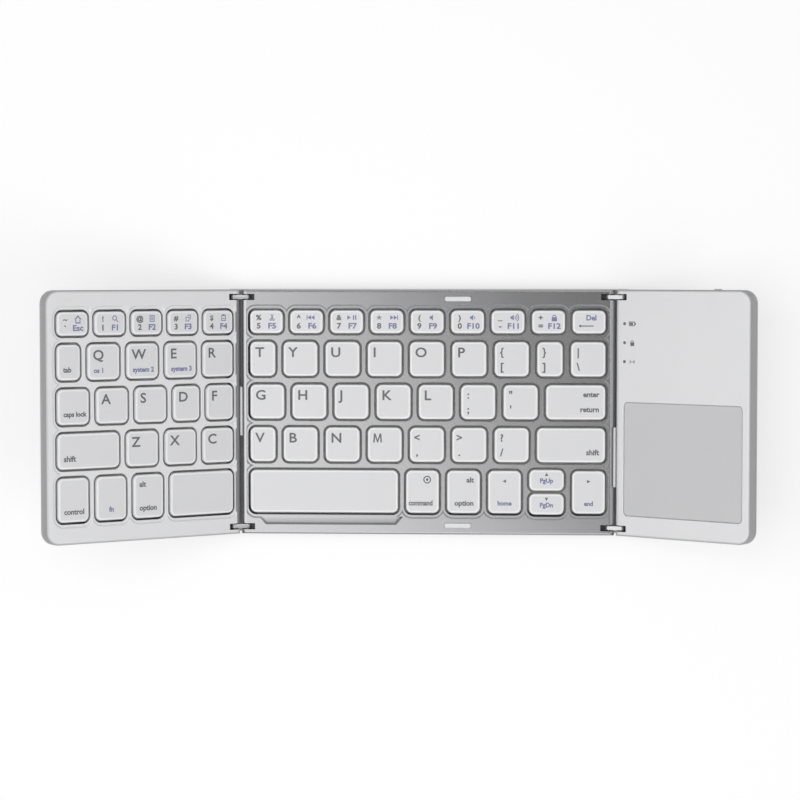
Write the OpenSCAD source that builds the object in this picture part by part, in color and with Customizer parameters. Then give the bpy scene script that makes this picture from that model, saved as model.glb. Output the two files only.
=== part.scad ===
// Folding keyboard: a middle panel and two wings on double-pivot hinges.
// The wings stand open at rest, lie flat at one limit and close over the
// middle panel at the other.
// +X is to the right of the typist, +Y to the back edge, +Z up.

/* [Panels] */
// Depth of every panel, front to back
body_depth = 98; // [85:1:120]
// Width of the middle panel
mid_w = 149.2; // [138:0.2:175]
// Width of the left wing
left_w = 86.3; // [78:0.1:96]
// Gap between the two wings when both are folded
fold_seam = 1.2; // [0.2:0.1:1.5]
// Thickness of a panel without its feet
panel_t = 7.2; // [6.9:0.1:10]
// Height of the rubber feet
foot_h = 0.4; // [0.2:0.1:2]
// Radius of the free corners in plan
corner_r = 5.2; // [2:0.1:10]
// Radius of the edges round the top, and of the hinge edges underneath
edge_r = 1; // [0.3:0.1:1.5]
// Radius of the underside's front, back and outer edges
belly_r = 2.5; // [2:0.1:2.6]
// Thickness of the side walls
wall = 1.2; // [0.8:0.1:2]
// Thickness of the floor of the bottom shells
floor_t = 1; // [0.8:0.1:1.4]
// Height of the parting line between bottom shell and top cover
shell_h = 2.9; // [2.7:0.1:3.2]
// Thickness of the top covers
cover_t = 1.7; // [1.4:0.1:1.8]

/* [Fold] */
// Rest angle of the left wing above the table
tilt_left = 37.5; // [0:0.5:50]
// Rest angle of the right wing above the table
tilt_right = 34.5; // [0:0.5:50]
// Gap between two panels at the hinge
panel_gap = 1; // [0.8:0.1:2]
// Radius of the rounded hinge edge, about the pivot
knuckle_r = 2.15; // [2:0.05:2.4]
// Radius of the round ends of a hinge link
link_r = 1.2; // [1:0.05:1.35]
// Thickness of a hinge link
link_t = 1.8; // [1:0.1:3]
// Clearance on each side of a link in its slot
link_play = 0.35; // [0.1:0.05:0.6]
// Distance of a hinge link from the front or back edge
link_inset = 3; // [2.6:0.1:4]
// Depth of a link slot from the hinge edge
slot_depth = 5.5; // [4:0.1:7]
// Diameter of a hinge pin
pin_d = 1; // [0.8:0.1:1.2]
// Radial running clearance of the hinge pins
pin_play = 0.05; // [0.02:0.01:0.08]
// Length of the solid block that holds a hinge pin
block_len = 7; // [6:0.1:10]
// Length of the left cable sleeve
left_sleeve_len = 19.6; // [10:0.2:30]
// Offset of the left cable sleeve from the middle of the depth
left_sleeve_y = 0.3; // [-20:0.1:20]
// Length of the right cable sleeve
right_sleeve_len = 23.9; // [10:0.2:30]
// Offset of the right cable sleeve from the middle of the depth
right_sleeve_y = -17.7; // [-20:0.1:20]
// Thickness of a cable sleeve in the gap
sleeve_t = 0.5; // [0.3:0.05:0.6]

/* [Keys] */
// Gap between the tops of letter keys
key_gap = 3.4; // [3.1:0.1:5]
// Gap between the tops of number keys
number_gap = 3.1; // [2.9:0.1:5]
// Depth of the number row
number_h = 9; // [8:0.1:12]
// Depth of the bottom row
bottom_h = 16.9; // [16:0.1:20]
// Gap between two rows
row_gap = 3.55; // [3.1:0.05:5]
// Gap between the up and down arrow keys
arrow_gap = 1.4; // [1.2:0.1:2]
// Distance from the back edge to the number row
back_margin = 8.4; // [8:0.1:12]
// Distance from the front edge to the bottom row
front_margin = 8.75; // [8.4:0.1:12]
// Distance from a hinge edge to the nearest key
hinge_margin = 3.75; // [3.4:0.05:6]
// Distance from the outer edge of the left wing to the nearest key
outer_margin = 5; // [4:0.1:9]
// Corner radius of a key top
key_r = 2.2; // [1:0.1:3]
// Height of a keycap
cap_h = 2; // [1.7:0.1:2.1]
// Thickness of the top and sides of a keycap
cap_wall = 1; // [0.7:0.1:1.2]
// Step from the top of a keycap to its skirt
skirt = 0.1; // [0.05:0.05:0.3]
// Gap between a keycap skirt and its opening
key_play = 0.85; // [0.3:0.05:0.9]
// Depth of the key tops below the rim
key_drop = 0.3; // [0.1:0.05:0.5]
// Depth of the web between the keys below the rim
web_drop = 0.7; // [0.3:0.05:0.9]
// Travel of a key
key_travel = 1.4; // [0.8:0.1:1.6]
// Thickness of the key plate
plate_t = 0.5; // [0.3:0.1:0.6]
// Thickness of the switch membrane
membrane_t = 0.3; // [0.2:0.05:0.4]
// Thickness of the dome sheet
dome_sheet_t = 0.3; // [0.2:0.05:0.4]
// Radius of the foot of a rubber dome
dome_foot_r = 2.6; // [2.2:0.1:3]
// Radius of the top of a rubber dome
dome_top_r = 1.6; // [1.2:0.1:1.8]

/* [Right wing] */
// Width of the touchpad
pad_w = 53.6; // [40:0.2:54]
// Depth of the touchpad
pad_h = 44.8; // [30:0.2:46]
// Thickness of the touchpad plate
pad_t = 0.8; // [0.5:0.1:0.9]
// Depth of the touchpad below the rim
pad_drop = 0.3; // [0.1:0.05:0.5]
// Distance from the hinge edge to the touchpad
pad_side = 4.4; // [4:0.1:6]
// Distance from the front edge to the touchpad
pad_front = 8.45; // [8:0.05:12]
// Clearance around the touchpad
pad_play = 0.2; // [0.1:0.05:0.5]
// Ledge that the touchpad lies on
pad_ledge = 1.6; // [1:0.1:2.5]
// Width of the battery
battery_w = 46; // [30:1:48]
// Depth of the battery
battery_h = 34; // [20:1:38]
// Thickness of the battery
battery_t = 3.2; // [2.4:0.1:3.6]
// Distance from the main board to the outer edge of the wing
board_end = 7.1; // [4:0.1:10]
// Depth of the main board
board_h = 36; // [30:0.5:38]
// Thickness of the main board
board_t = 0.8; // [0.6:0.1:1]
// Height of the main board above the floor
board_lift = 0.3; // [0.2:0.05:0.4]
// Distance from the hinge edge to the charging port
port_x = 31.6; // [26:0.1:38]
// Width of the charging port
port_w = 8.94; // [8.94:0.01:9.2]
// Height of the charging port
port_h = 3.26; // [3.26:0.01:3.4]
// Depth of the charging port
port_depth = 7.3; // [6.5:0.1:8]
// Distance from the hinge edge to the power button
button_x = 45; // [43:0.1:45.5]
// Width of the power button
button_w = 3.2; // [2.6:0.1:4]
// Height of the power button
button_h = 1.8; // [1.2:0.1:2.2]
// Length of the power button outside the wall
button_out = 0.4; // [0.2:0.05:0.8]
// Travel of the power button
button_travel = 0.3; // [0.1:0.05:0.35]
// Radius of an indicator light
lamp_r = 0.6; // [0.4:0.05:0.8]
// Distance from the hinge edge to the indicator lights
lamp_x = 4.6; // [4:0.1:6]
// Distance from the back edge to the first indicator light
lamp_back = 13.5; // [10:0.1:16]
// Spacing of the indicator lights
lamp_pitch = 7.5; // [5:0.1:9]

/* [Small parts] */
// Radius of the bosses that take the screws
boss_r = 1.6; // [1.4:0.1:1.8]
// Radius of the screw shafts
screw_r = 0.7; // [0.5:0.05:0.8]
// Radius of the screw heads
head_r = 1.3; // [1.1:0.1:1.5]
// Height of the screw heads
head_h = 0.4; // [0.3:0.05:0.5]
// Distance of the bosses from the front and back edges
boss_inset = 4.6; // [4.4:0.1:5.5]
// Distance of the outer bosses from the ends of a panel
boss_end = 12; // [11:0.5:14]
// Distance of the middle bosses from the seam between the folded wings
boss_seam = 20; // [16:0.5:24]
// Length of a rubber foot
foot_len = 16; // [8:1:24]
// Width of a rubber foot
foot_w = 4; // [3:0.5:6]
// Distance of the feet from the front and back edges
foot_inset = 11; // [9:0.5:16]
// Distance of the feet from the ends of a panel
foot_end = 10; // [8:0.5:16]
// Length of a rim bumper
bumper_len = 10.4; // [6:0.1:14]
// Width of a rim bumper
bumper_w = 1.9; // [1:0.1:3]
// Height of a rim bumper above the rim
bumper_h = 0.7; // [0.3:0.05:0.7]
// Distance of the rim bumpers from the front and back edges
bumper_inset = 3.75; // [3:0.05:5]
// Length of a latch magnet
magnet_len = 12; // [6:0.5:16]
// Width of a latch magnet
magnet_w = 3.4; // [2:0.1:4]
// Width of a latch plate
latch_w = 5; // [3:0.1:6]
// Thickness of a latch plate
latch_t = 0.8; // [0.4:0.1:1]
// Height of a latch magnet
magnet_h = 1.8; // [1:0.1:2]

/* [Hidden] */
$fn = 48;
eps = 0.01;
clear = 0.1;

// Panels: x runs from x0 to x1, z from the bottom face
half_d = body_depth / 2;
right_w = mid_w - left_w - fold_seam;
seam_x = -mid_w / 2 + left_w + fold_seam / 2;
cover_under = panel_t - cover_t;

// Fold: each side has two pivots, one in either panel
pivot_z = panel_t - knuckle_r;
pivot_span = panel_gap + 2 * knuckle_r;
pin_r = pin_d / 2;
slot_w = link_t + 2 * link_play;
link_y = half_d - link_inset;

// The wings' outer bottom corners are the ends of the whole object
function reach(w, tilt) =
    mid_w / 2 - knuckle_r + pivot_span * cos(tilt / 2)
    + (w - knuckle_r - belly_r) * cos(tilt) + (pivot_z - belly_r) * sin(tilt) + belly_r;
shift_x = (reach(left_w, tilt_left) - reach(right_w, tilt_right)) / 2;
shift_y = -button_out / 2;

// Key field: rows from the back edge, and columns in units of a letter key
function tidy(v) = round(v * 50) / 50;
letter_h = tidy((body_depth - back_margin - front_margin - number_h - bottom_h - 4 * row_gap) / 3);
row_h = [number_h, letter_h, letter_h, letter_h, bottom_h];
left_units = 4.763;
mid_units = 8.59;
left_rows = [
    [for (i = [0:5]) i * left_units / 5],
    [0, 0.77, 1.77, 2.77, 3.77, left_units],
    [0, 0.985, 1.98, 2.98, 3.86, left_units],
    [0, 1.755, 2.76, 3.76, left_units],
    [0, 0.965, 1.925, 2.89, left_units]
];
mid_rows = [
    [for (i = [0:9]) i * mid_units / 9],
    [0, 0.79, 1.79, 2.79, 3.79, 4.79, 5.79, 6.79, 7.585, mid_units],
    [0, 1, 2, 3, 4, 5, 6, 7, mid_units],
    [0, 0.79, 1.79, 2.79, 3.79, 4.79, 5.79, 6.79, mid_units],
    [0, 3.7, 4.67, 5.64, 6.61, 7.62, mid_units]
];
arrow_col = 4;
arrow_over = 0.45;
mid_field = mid_w - 2 * hinge_margin;
mid_field_x = -mid_w / 2 + hinge_margin;
left_field = left_w - hinge_margin - outer_margin;
left_field_x = -left_w + outer_margin;
cap_z = panel_t - key_drop;
opening_grow = skirt + key_play;
recess_x = key_gap / 2 + 0.1;
recess_y = row_gap / 2 + 0.1;
rim_min = knuckle_r + 0.15;

function sum_to(v, n) = n <= 0 ? 0 : v[n - 1] + sum_to(v, n - 1);
function row_top(r) = half_d - back_margin - sum_to(row_h, r) - r * row_gap;
function gap_of(r) = r == 0 ? number_gap : key_gap;
// A key is [x, y, width, depth], with x and y at its middle
function cell(x0, x1, top, h) = [(x0 + x1) / 2, top - h / 2, x1 - x0, h];
function row_keys(rows, r, field_x, field_w) =
    let (u = rows[r], g = gap_of(r), pitch = (field_w + g) / u[len(u) - 1])
    [for (i = [0:len(u) - 2])
        cell(tidy(field_x + u[i] * pitch), tidy(field_x + u[i + 1] * pitch - g), row_top(r), row_h[r])];
function left_keys(r) = row_keys(left_rows, r, left_field_x, left_field);
function split(k) =
    let (h = (k[3] + 2 * arrow_over - arrow_gap) / 2)
    [[k[0], k[1] + (arrow_gap + h) / 2, k[2], h],
     [k[0], k[1] - (arrow_gap + h) / 2, k[2], h]];
function whole_mid(r) = row_keys(mid_rows, r, mid_field_x, mid_field);
function mid_keys(r) = r < 4 ? whole_mid(r) :
    let (k = whole_mid(4), a = split(k[arrow_col]))
    [k[0], k[1], k[2], k[3], a[0], a[1], k[5]];
function part_of(v, from, to) = [for (i = [from:to]) v[i]];

// Small parts
plate_z = floor_t;
membrane_z = plate_z + plate_t;
sheet_z = membrane_z + membrane_t;
dome_z = sheet_z + dome_sheet_t;
plunger_z = dome_z + key_travel + 0.95;
dome_top_z = plunger_z - 0.05;
screw_top = cover_under + 0.3;
left_bosses = [-left_w + boss_end, -boss_end];
right_bosses = [boss_end, right_w - boss_end];
mid_bosses = [-mid_w / 2 + boss_end, seam_x - boss_seam, mid_w / 2 - boss_end];
left_feet_x = [-left_w + foot_end, -foot_end - foot_len];
right_feet_x = [foot_end, right_w - foot_end - foot_len];
mid_feet_x = [-mid_w / 2 + foot_end, mid_w / 2 - foot_end - foot_len];
pad_x = pad_side + pad_w / 2;
pad_y = -half_d + pad_front + pad_h / 2;
pad_z = panel_t - pad_drop - pad_t;
pad_board_play = 0.5;
// The latch plates end in front of the touchpad's board
latch_d = tidy(pad_front + pad_ledge + pad_board_play - 0.35 - corner_r);
board_x = 2.6;
board_w = right_w - board_x - board_end;
board_back = half_d - max(belly_r, wall + 0.3);
board_z = floor_t + board_lift;
board_top = board_z + board_t;
// A chip is [from the board's left edge, from its front edge, width, depth, height]
chips = [[12, 6, 8, 8, 1.2], [board_w - 22, 5, 5, 5, 0.9], [board_w - 12, 14, 7, 4, 1]];
port_z = board_top + port_h / 2;
button_z = board_top + 0.4 + button_h / 2;
button_len = 3.2;
lamp_ys = [for (i = [0:2]) half_d - lamp_back - i * lamp_pitch];

// Places
module at_mid() translate([shift_x, shift_y, foot_h]) children();
module at_link(side, tilt) {
    at_mid()
        translate([side * (mid_w / 2 - knuckle_r), 0, pivot_z])
            rotate([0, -side * tilt / 2, 0])
                children();
}
// A wing's own x runs outwards from its hinge edge, which is at x = 0
module at_wing(side, tilt) {
    at_link(side, tilt)
        translate([side * pivot_span, 0, 0])
            rotate([0, -side * tilt / 2, 0])
                translate([-side * knuckle_r, 0, -pivot_z])
                    children();
}
module at_left() at_wing(-1, tilt_left) children();
module at_right() at_wing(1, tilt_right) children();
module both_ends() {
    children();
    mirror([0, 1, 0]) children();
}

// Flat outlines
module rounded(w, h, r) {
    square([w - 2 * r, h], center = true);
    square([w, h - 2 * r], center = true);
    for (x = [-1, 1], y = [-1, 1])
        translate([x * (w / 2 - r), y * (h / 2 - r)]) circle(r);
}
module stadium(w, h) {
    square([w - h, h], center = true);
    for (x = [-1, 1]) translate([x * (w - h) / 2, 0]) circle(h / 2);
}
// What rounding takes off the corner at (x, y), whose inside lies towards (sx, sy)
module corner_waste(x, y, sx, sy, r) {
    difference() {
        translate([sx > 0 ? x - 1 : x - r, sy > 0 ? y - 1 : y - r]) square(r + 1);
        translate([x + sx * r, y + sy * r]) circle(r);
    }
}
module plan(x0, x1, hinge0, hinge1, inset) {
    r = corner_r - inset;
    difference() {
        translate([x0 + inset, -half_d + inset]) square([x1 - x0 - 2 * inset, body_depth - 2 * inset]);
        for (s = [-1, 1]) {
            if (!hinge0) corner_waste(x0 + inset, s * (half_d - inset), 1, -s, r);
            if (!hinge1) corner_waste(x1 - inset, s * (half_d - inset), -1, -s, r);
        }
    }
}
// Section of a panel across the hinges, x and z
module long_section(x0, x1, hinge0, hinge1) {
    difference() {
        translate([x0, 0]) square([x1 - x0, panel_t]);
        corner_waste(x0, panel_t, 1, -1, hinge0 ? knuckle_r : edge_r);
        corner_waste(x1, panel_t, -1, -1, hinge1 ? knuckle_r : edge_r);
        corner_waste(x0, 0, 1, 1, hinge0 ? edge_r : belly_r);
        corner_waste(x1, 0, -1, 1, hinge1 ? edge_r : belly_r);
    }
}
// Section of a panel front to back, y and z
module short_section() {
    difference() {
        translate([-half_d, 0]) square([body_depth, panel_t]);
        for (s = [-1, 1]) {
            corner_waste(s * half_d, panel_t, -s, -1, edge_r);
            corner_waste(s * half_d, 0, -s, 1, belly_r);
        }
    }
}
// The outer form of a panel between two heights
module blank(x0, x1, hinge0, hinge1, z0, z1) {
    intersection() {
        translate([0, half_d, 0]) rotate([90, 0, 0])
            linear_extrude(body_depth) long_section(x0, x1, hinge0, hinge1);
        translate([x0, 0, 0]) rotate([90, 0, 90])
            linear_extrude(x1 - x0) short_section();
        translate([0, 0, z0]) linear_extrude(z1 - z0) plan(x0, x1, hinge0, hinge1, 0);
    }
}
module prism(z, h) translate([0, 0, z]) linear_extrude(h) children();
// The room in a bottom shell, with its lower edges rounded like the outside
module shell_room(x0, x1, hinge0, hinge1) {
    r = max(belly_r - wall, 0.2);
    intersection() {
        translate([0, half_d, 0]) rotate([90, 0, 0]) linear_extrude(body_depth) difference() {
            translate([x0, floor_t]) square([x1 - x0, shell_h]);
            if (!hinge0) corner_waste(x0 + wall, floor_t, 1, 1, r);
            if (!hinge1) corner_waste(x1 - wall, floor_t, -1, 1, r);
        }
        translate([x0, 0, 0]) rotate([90, 0, 90]) linear_extrude(x1 - x0) difference() {
            translate([-half_d, floor_t]) square([body_depth, shell_h]);
            for (s = [-1, 1]) corner_waste(s * (half_d - wall), floor_t, -s, 1, r);
        }
        prism(floor_t, shell_h) plan(x0, x1, hinge0, hinge1, wall);
    }
}

// Hinge edge at x, with its panel lying towards dir
module hinge_blocks(x, dir) {
    len = slot_depth + wall;
    both_ends()
        translate([dir > 0 ? x + wall / 2 : x - len, half_d - block_len, shell_h])
            cube([len - wall / 2, block_len - wall / 2, cover_under - shell_h + eps]);
}
module hinge_cuts(x, dir, sleeve_y, sleeve_len) {
    slot_z = pivot_z - link_r - 0.3;
    both_ends() {
        translate([dir > 0 ? x - 1 : x - slot_depth, link_y - slot_w / 2, slot_z])
            cube([slot_depth + 1, slot_w, panel_t]);
        translate([x + dir * knuckle_r, half_d - wall, pivot_z]) rotate([90, 0, 0])
            cylinder(r = pin_r + pin_play, h = block_len - wall);
    }
    // Slit for the flat cable
    translate([dir > 0 ? x - 1 : x - 1.6, sleeve_y - sleeve_len / 2 + 1.5, pivot_z - 0.4])
        cube([2.6, sleeve_len - 3, 1.7]);
}
module hinge_pins(x, dir) {
    both_ends()
        translate([x + dir * knuckle_r, half_d - wall - 0.1, pivot_z]) rotate([90, 0, 0])
            cylinder(r = pin_r, h = block_len - wall - 0.3);
}

// Screw bosses and screws
module each_boss(xs) {
    for (x = xs, s = [-1, 1]) translate([x, s * (half_d - boss_inset), 0]) children();
}
module bosses(xs) each_boss(xs) prism(floor_t, cover_under - floor_t + eps) circle(boss_r);
module boss_bores(xs) each_boss(xs) prism(0, screw_top + clear) circle(screw_r + 0.02);
module screws(xs) {
    each_boss(xs) {
        prism(clear, head_h) circle(head_r);
        prism(clear + head_h - eps, screw_top - clear - head_h) circle(screw_r);
    }
}
module screw_holes(xs) {
    each_boss(xs) {
        prism(-1, 1 + clear + head_h) circle(head_r + clear);
        prism(-1, floor_t + 2) circle(screw_r + clear);
    }
}

// Shells
module bottom_shell(x0, x1, hinge0, hinge1, xs) {
    difference() {
        blank(x0, x1, hinge0, hinge1, 0, shell_h);
        shell_room(x0, x1, hinge0, hinge1);
        screw_holes(xs);
    }
}
module cover_body(x0, x1, hinge0, hinge1, xs) {
    difference() {
        blank(x0, x1, hinge0, hinge1, shell_h, panel_t);
        prism(shell_h - 1, cover_under - shell_h + 1) plan(x0, x1, hinge0, hinge1, wall);
    }
    bosses(xs);
    if (hinge0) hinge_blocks(x0, 1);
    if (hinge1) hinge_blocks(x1, -1);
}
module key_openings(keys) {
    for (k = keys)
        translate([k[0], k[1], shell_h])
            linear_extrude(panel_t)
                rounded(k[2] + 2 * opening_grow, k[3] + 2 * opening_grow, key_r + opening_grow);
}
// The sunken web: scalloped round the outer keys, flat between them.
// It stops short of the rounded hinge edges.
module web_recess(rows, x0, x1) {
    prism(panel_t - web_drop, 1 + web_drop) intersection() {
        web_outline(rows);
        translate([x0 + rim_min, -half_d]) square([x1 - x0 - 2 * rim_min, body_depth]);
    }
}
module web_outline(rows) {
    for (r = [0:4]) {
        keys = rows[r];
        a = keys[0][0];
        b = keys[len(keys) - 1][0];
        for (k = keys)
            translate([k[0], k[1]])
                rounded(k[2] + 2 * recess_x, k[3] + 2 * recess_y, key_r + recess_x);
        translate([a, row_top(r) - row_h[r] + key_r]) square([b - a, row_h[r] - 2 * key_r]);
        if (r > 0)
            translate([a, row_top(r) - key_r]) square([b - a, row_gap + 2 * key_r]);
    }
}
// Lowered thumb rest in front of the space bar
module thumb_rest() {
    k = mid_keys(4)[0];
    front = k[1] - k[3] / 2 - recess_y + 0.3;
    translate([k[0], front, panel_t - web_drop])
        linear_extrude(2)
            polygon([
                [-k[2] / 2 + 4, 0], [k[2] / 2 + 1, 0], [k[2] / 2 - 1.5, -2.9], [-k[2] / 2 + 7, -2.9]
            ]);
}
module mid_top_cover() {
    rows = [for (r = [0:4]) mid_keys(r)];
    color([0.66, 0.66, 0.68]) at_mid() difference() {
        cover_body(-mid_w / 2, mid_w / 2, true, true, mid_bosses);
        boss_bores(mid_bosses);
        web_recess(rows, -mid_w / 2, mid_w / 2);
        for (keys = rows) key_openings(keys);
        thumb_rest();
        hinge_cuts(-mid_w / 2, 1, left_sleeve_y, left_sleeve_len);
        hinge_cuts(mid_w / 2, -1, right_sleeve_y, right_sleeve_len);
        both_ends() bumper_bed();
    }
}
module left_top_cover() {
    rows = [for (r = [0:4]) left_keys(r)];
    color([0.84, 0.84, 0.85]) at_left() difference() {
        cover_body(-left_w, 0, false, true, left_bosses);
        boss_bores(left_bosses);
        web_recess(rows, -left_w, 0);
        for (keys = rows) key_openings(keys);
        hinge_cuts(0, -1, left_sleeve_y, left_sleeve_len);
    }
}
module right_top_cover() {
    color([0.86, 0.86, 0.87]) at_right() difference() {
        cover_body(0, right_w, true, false, right_bosses);
        boss_bores(right_bosses);
        translate([pad_x, pad_y, 0]) {
            prism(pad_z, panel_t) rounded(pad_w + 2 * pad_play, pad_h + 2 * pad_play, 1.6 + pad_play);
            prism(shell_h, panel_t) square([pad_w - 2 * pad_ledge, pad_h - 2 * pad_ledge], center = true);
        }
        hinge_cuts(0, 1, right_sleeve_y, right_sleeve_len);
        for (y = lamp_ys) translate([lamp_x, y, 0]) prism(shell_h, panel_t) circle(lamp_r + 0.05);
        back_wall_holes();
    }
}
module back_wall_holes() {
    translate([port_x, half_d + 1, port_z]) rotate([90, 0, 0])
        linear_extrude(wall + 2) stadium(port_w + 0.3, port_h + 0.3);
    translate([button_x, half_d + 1, button_z]) rotate([90, 0, 0])
        linear_extrude(wall + 2) stadium(button_w + 0.6, button_h + 0.6);
}
module mid_bottom_shell() {
    color([0.8, 0.8, 0.81]) at_mid()
        bottom_shell(-mid_w / 2, mid_w / 2, true, true, mid_bosses);
}
module left_bottom_shell() {
    color([0.8, 0.8, 0.81]) at_left()
        bottom_shell(-left_w, 0, false, true, left_bosses);
}
module right_bottom_shell() {
    color([0.8, 0.8, 0.81]) at_right() difference() {
        union() {
            bottom_shell(0, right_w, true, false, right_bosses);
            standoffs();
        }
        back_wall_holes();
    }
}
module standoffs() {
    inset = 3;
    for (x = [board_x + inset, board_x + board_w - inset])
        for (y = [board_back - board_h + inset, board_back - 7])
            translate([x, y, 0]) prism(floor_t - eps, board_lift + eps) circle(1.6);
}

// What lies under the keys
module key_field(rows, grow) {
    first = rows[0];
    last = first[len(first) - 1];
    x0 = first[0][0] - first[0][2] / 2 - grow;
    x1 = last[0] + last[2] / 2 + grow;
    y1 = row_top(0) + grow;
    y0 = row_top(4) - row_h[4] - grow;
    translate([x0, y0]) square([x1 - x0, y1 - y0]);
}
module domes(rows) {
    prism(sheet_z, dome_sheet_t) key_field(rows, 0);
    for (keys = rows, k = keys) translate([k[0], k[1], dome_z - eps])
        difference() {
            cylinder(r1 = dome_foot_r, r2 = dome_top_r, h = dome_top_z - dome_z);
            translate([0, 0, -eps])
                cylinder(r1 = dome_foot_r - 0.5, r2 = dome_top_r - 0.5, h = dome_top_z - dome_z - 0.5);
        }
}
module mid_key_plate() {
    color([0.5, 0.5, 0.52]) at_mid()
        prism(plate_z, plate_t) key_field([for (r = [0:4]) mid_keys(r)], 1);
}
module mid_membrane() {
    color([0.75, 0.8, 0.75]) at_mid()
        prism(membrane_z, membrane_t) key_field([for (r = [0:4]) mid_keys(r)], 0.5);
}
module mid_domes() {
    color([0.9, 0.9, 0.88]) at_mid() domes([for (r = [0:4]) mid_keys(r)]);
}
module left_key_plate() {
    color([0.5, 0.5, 0.52]) at_left()
        prism(plate_z, plate_t) key_field([for (r = [0:4]) left_keys(r)], 1);
}
module left_membrane() {
    color([0.75, 0.8, 0.75]) at_left()
        prism(membrane_z, membrane_t) key_field([for (r = [0:4]) left_keys(r)], 0.5);
}
module left_domes() {
    color([0.9, 0.9, 0.88]) at_left() domes([for (r = [0:4]) left_keys(r)]);
}

// Keycaps: a top, a wider skirt, a hollow and a plunger over the dome
module caps(keys) {
    z0 = cap_z - cap_h;
    color([0.87, 0.87, 0.88]) for (k = keys) translate([k[0], k[1], 0]) {
        difference() {
            union() {
                prism(z0 + eps, cap_h - eps) rounded(k[2], k[3], key_r);
                prism(z0, cap_h - 0.5) rounded(k[2] + 2 * skirt, k[3] + 2 * skirt, key_r + skirt);
            }
            prism(z0 - 1, cap_h - cap_wall + 1)
                square([k[2] + 2 * skirt - 2 * cap_wall, k[3] + 2 * skirt - 2 * cap_wall], center = true);
        }
        prism(plunger_z, cap_z - cap_wall - plunger_z + eps) circle(dome_top_r);
    }
}
module left_caps(r, from, to) at_left() caps(part_of(left_keys(r), from, to));
module mid_caps(r, from, to) at_mid() caps(part_of(mid_keys(r), from, to));

// Feet, bumpers, magnets and screws
module feet(xs) {
    color([0.25, 0.25, 0.26]) for (x = xs, s = [-1, 1])
        translate([x + foot_len / 2, s * (half_d - foot_inset), -foot_h])
            linear_extrude(foot_h) stadium(foot_len, foot_w);
}
module bumper_bed() {
    translate([seam_x - bumper_len / 2 - 0.05, half_d - bumper_inset - bumper_w / 2 - 0.05, panel_t - 0.4])
        cube([bumper_len + 0.1, bumper_w + 0.1, 2]);
}
module rim_bumpers() {
    color([0.93, 0.93, 0.94]) at_mid() both_ends()
        translate([seam_x - bumper_len / 2, half_d - bumper_inset - bumper_w / 2, panel_t - 0.4])
            cube([bumper_len, bumper_w, 0.4 + bumper_h]);
}
module mid_magnets() {
    color([0.6, 0.6, 0.62]) at_mid() both_ends()
        translate([seam_x - magnet_len / 2, half_d - bumper_inset - magnet_w / 2, cover_under - magnet_h])
            cube([magnet_len, magnet_w, magnet_h]);
}
module right_latch_plates() {
    color([0.55, 0.55, 0.57]) at_right() both_ends()
        translate([right_w - wall - 0.5 - latch_w, half_d - corner_r - latch_d, cover_under - latch_t])
            cube([latch_w, latch_d, latch_t]);
}

// Touchpad
module touchpad() {
    color([0.77, 0.77, 0.78]) at_right() translate([pad_x, pad_y, 0])
        prism(pad_z, pad_t) rounded(pad_w, pad_h, 1.6);
}
module touchpad_board() {
    w = pad_w - 2 * (pad_ledge + pad_board_play);
    h = pad_h - 2 * (pad_ledge + pad_board_play);
    color([0.1, 0.35, 0.2]) at_right() translate([pad_x, pad_y, 0])
        prism(pad_z - 0.8, 0.8) square([w, h], center = true);
}
module battery() {
    color([0.3, 0.32, 0.38]) at_right()
        translate([pad_x - battery_w / 2, -half_d + boss_inset + boss_r + 0.6, floor_t])
            cube([battery_w, battery_h, battery_t]);
}

// Main board with its chips, the switch behind the button and the lamps
module main_board() {
    y0 = board_back - board_h;
    chip_z = board_top - eps;
    color([0.1, 0.35, 0.2]) at_right() {
        difference() {
            translate([board_x, y0, board_z]) cube([board_w, board_h, board_t]);
            each_boss(right_bosses) prism(board_z - 1, board_t + 2) {
                circle(boss_r + 0.3);
                translate([-boss_r - 0.3, 0]) square([2 * boss_r + 0.6, 4]);
            }
        }
        for (c = chips)
            translate([board_x + c[0], y0 + c[1], chip_z]) cube([c[2], c[3], c[4]]);
        translate([button_x - 2, half_d + button_out - button_len - button_travel - 2.1, chip_z])
            cube([4, 2, 2]);
        for (y = lamp_ys) translate([lamp_x - 0.8, y - 0.5, chip_z]) cube([1.6, 1, 0.6]);
    }
}
module charging_port() {
    mouth = half_d - 0.2;
    color([0.7, 0.7, 0.72]) at_right() translate([port_x, mouth, port_z]) rotate([90, 0, 0]) {
        difference() {
            linear_extrude(port_depth) stadium(port_w, port_h);
            translate([0, 0, -1]) linear_extrude(port_depth) stadium(port_w - 0.6, port_h - 0.7);
        }
        translate([0, 0, port_depth - 5.4]) linear_extrude(5) square([6.7, 0.7], center = true);
    }
}
module indicator_lights() {
    z = board_top + 0.7;
    color([0.3, 0.3, 0.32]) at_right()
        for (y = lamp_ys) translate([lamp_x, y, 0]) prism(z, panel_t - 0.05 - z) circle(lamp_r);
}
module power_button() {
    color([0.8, 0.8, 0.82]) at_right()
        translate([button_x, half_d + button_out, button_z]) rotate([90, 0, 0]) {
            linear_extrude(button_len) stadium(button_w, button_h);
            translate([0, 0, wall + button_out + 0.3])
                linear_extrude(0.8) stadium(button_w + 1.4, button_h + 0.4);
        }
}

// Hinge links, one near each end of a gap
module links(side, tilt) {
    color([0.85, 0.85, 0.86]) at_link(side, tilt) both_ends()
        translate([side * pivot_span / 2, link_y + link_t / 2, 0]) rotate([90, 0, 0])
            difference() {
                linear_extrude(link_t) stadium(pivot_span + 2 * link_r, 2 * link_r);
                for (s = [-1, 1]) translate([s * pivot_span / 2, 0, -1])
                    cylinder(r = pin_r + pin_play, h = link_t + 2);
            }
}
module mid_hinge_pins() {
    color("gray") at_mid() {
        hinge_pins(-mid_w / 2, 1);
        hinge_pins(mid_w / 2, -1);
    }
}
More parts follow.
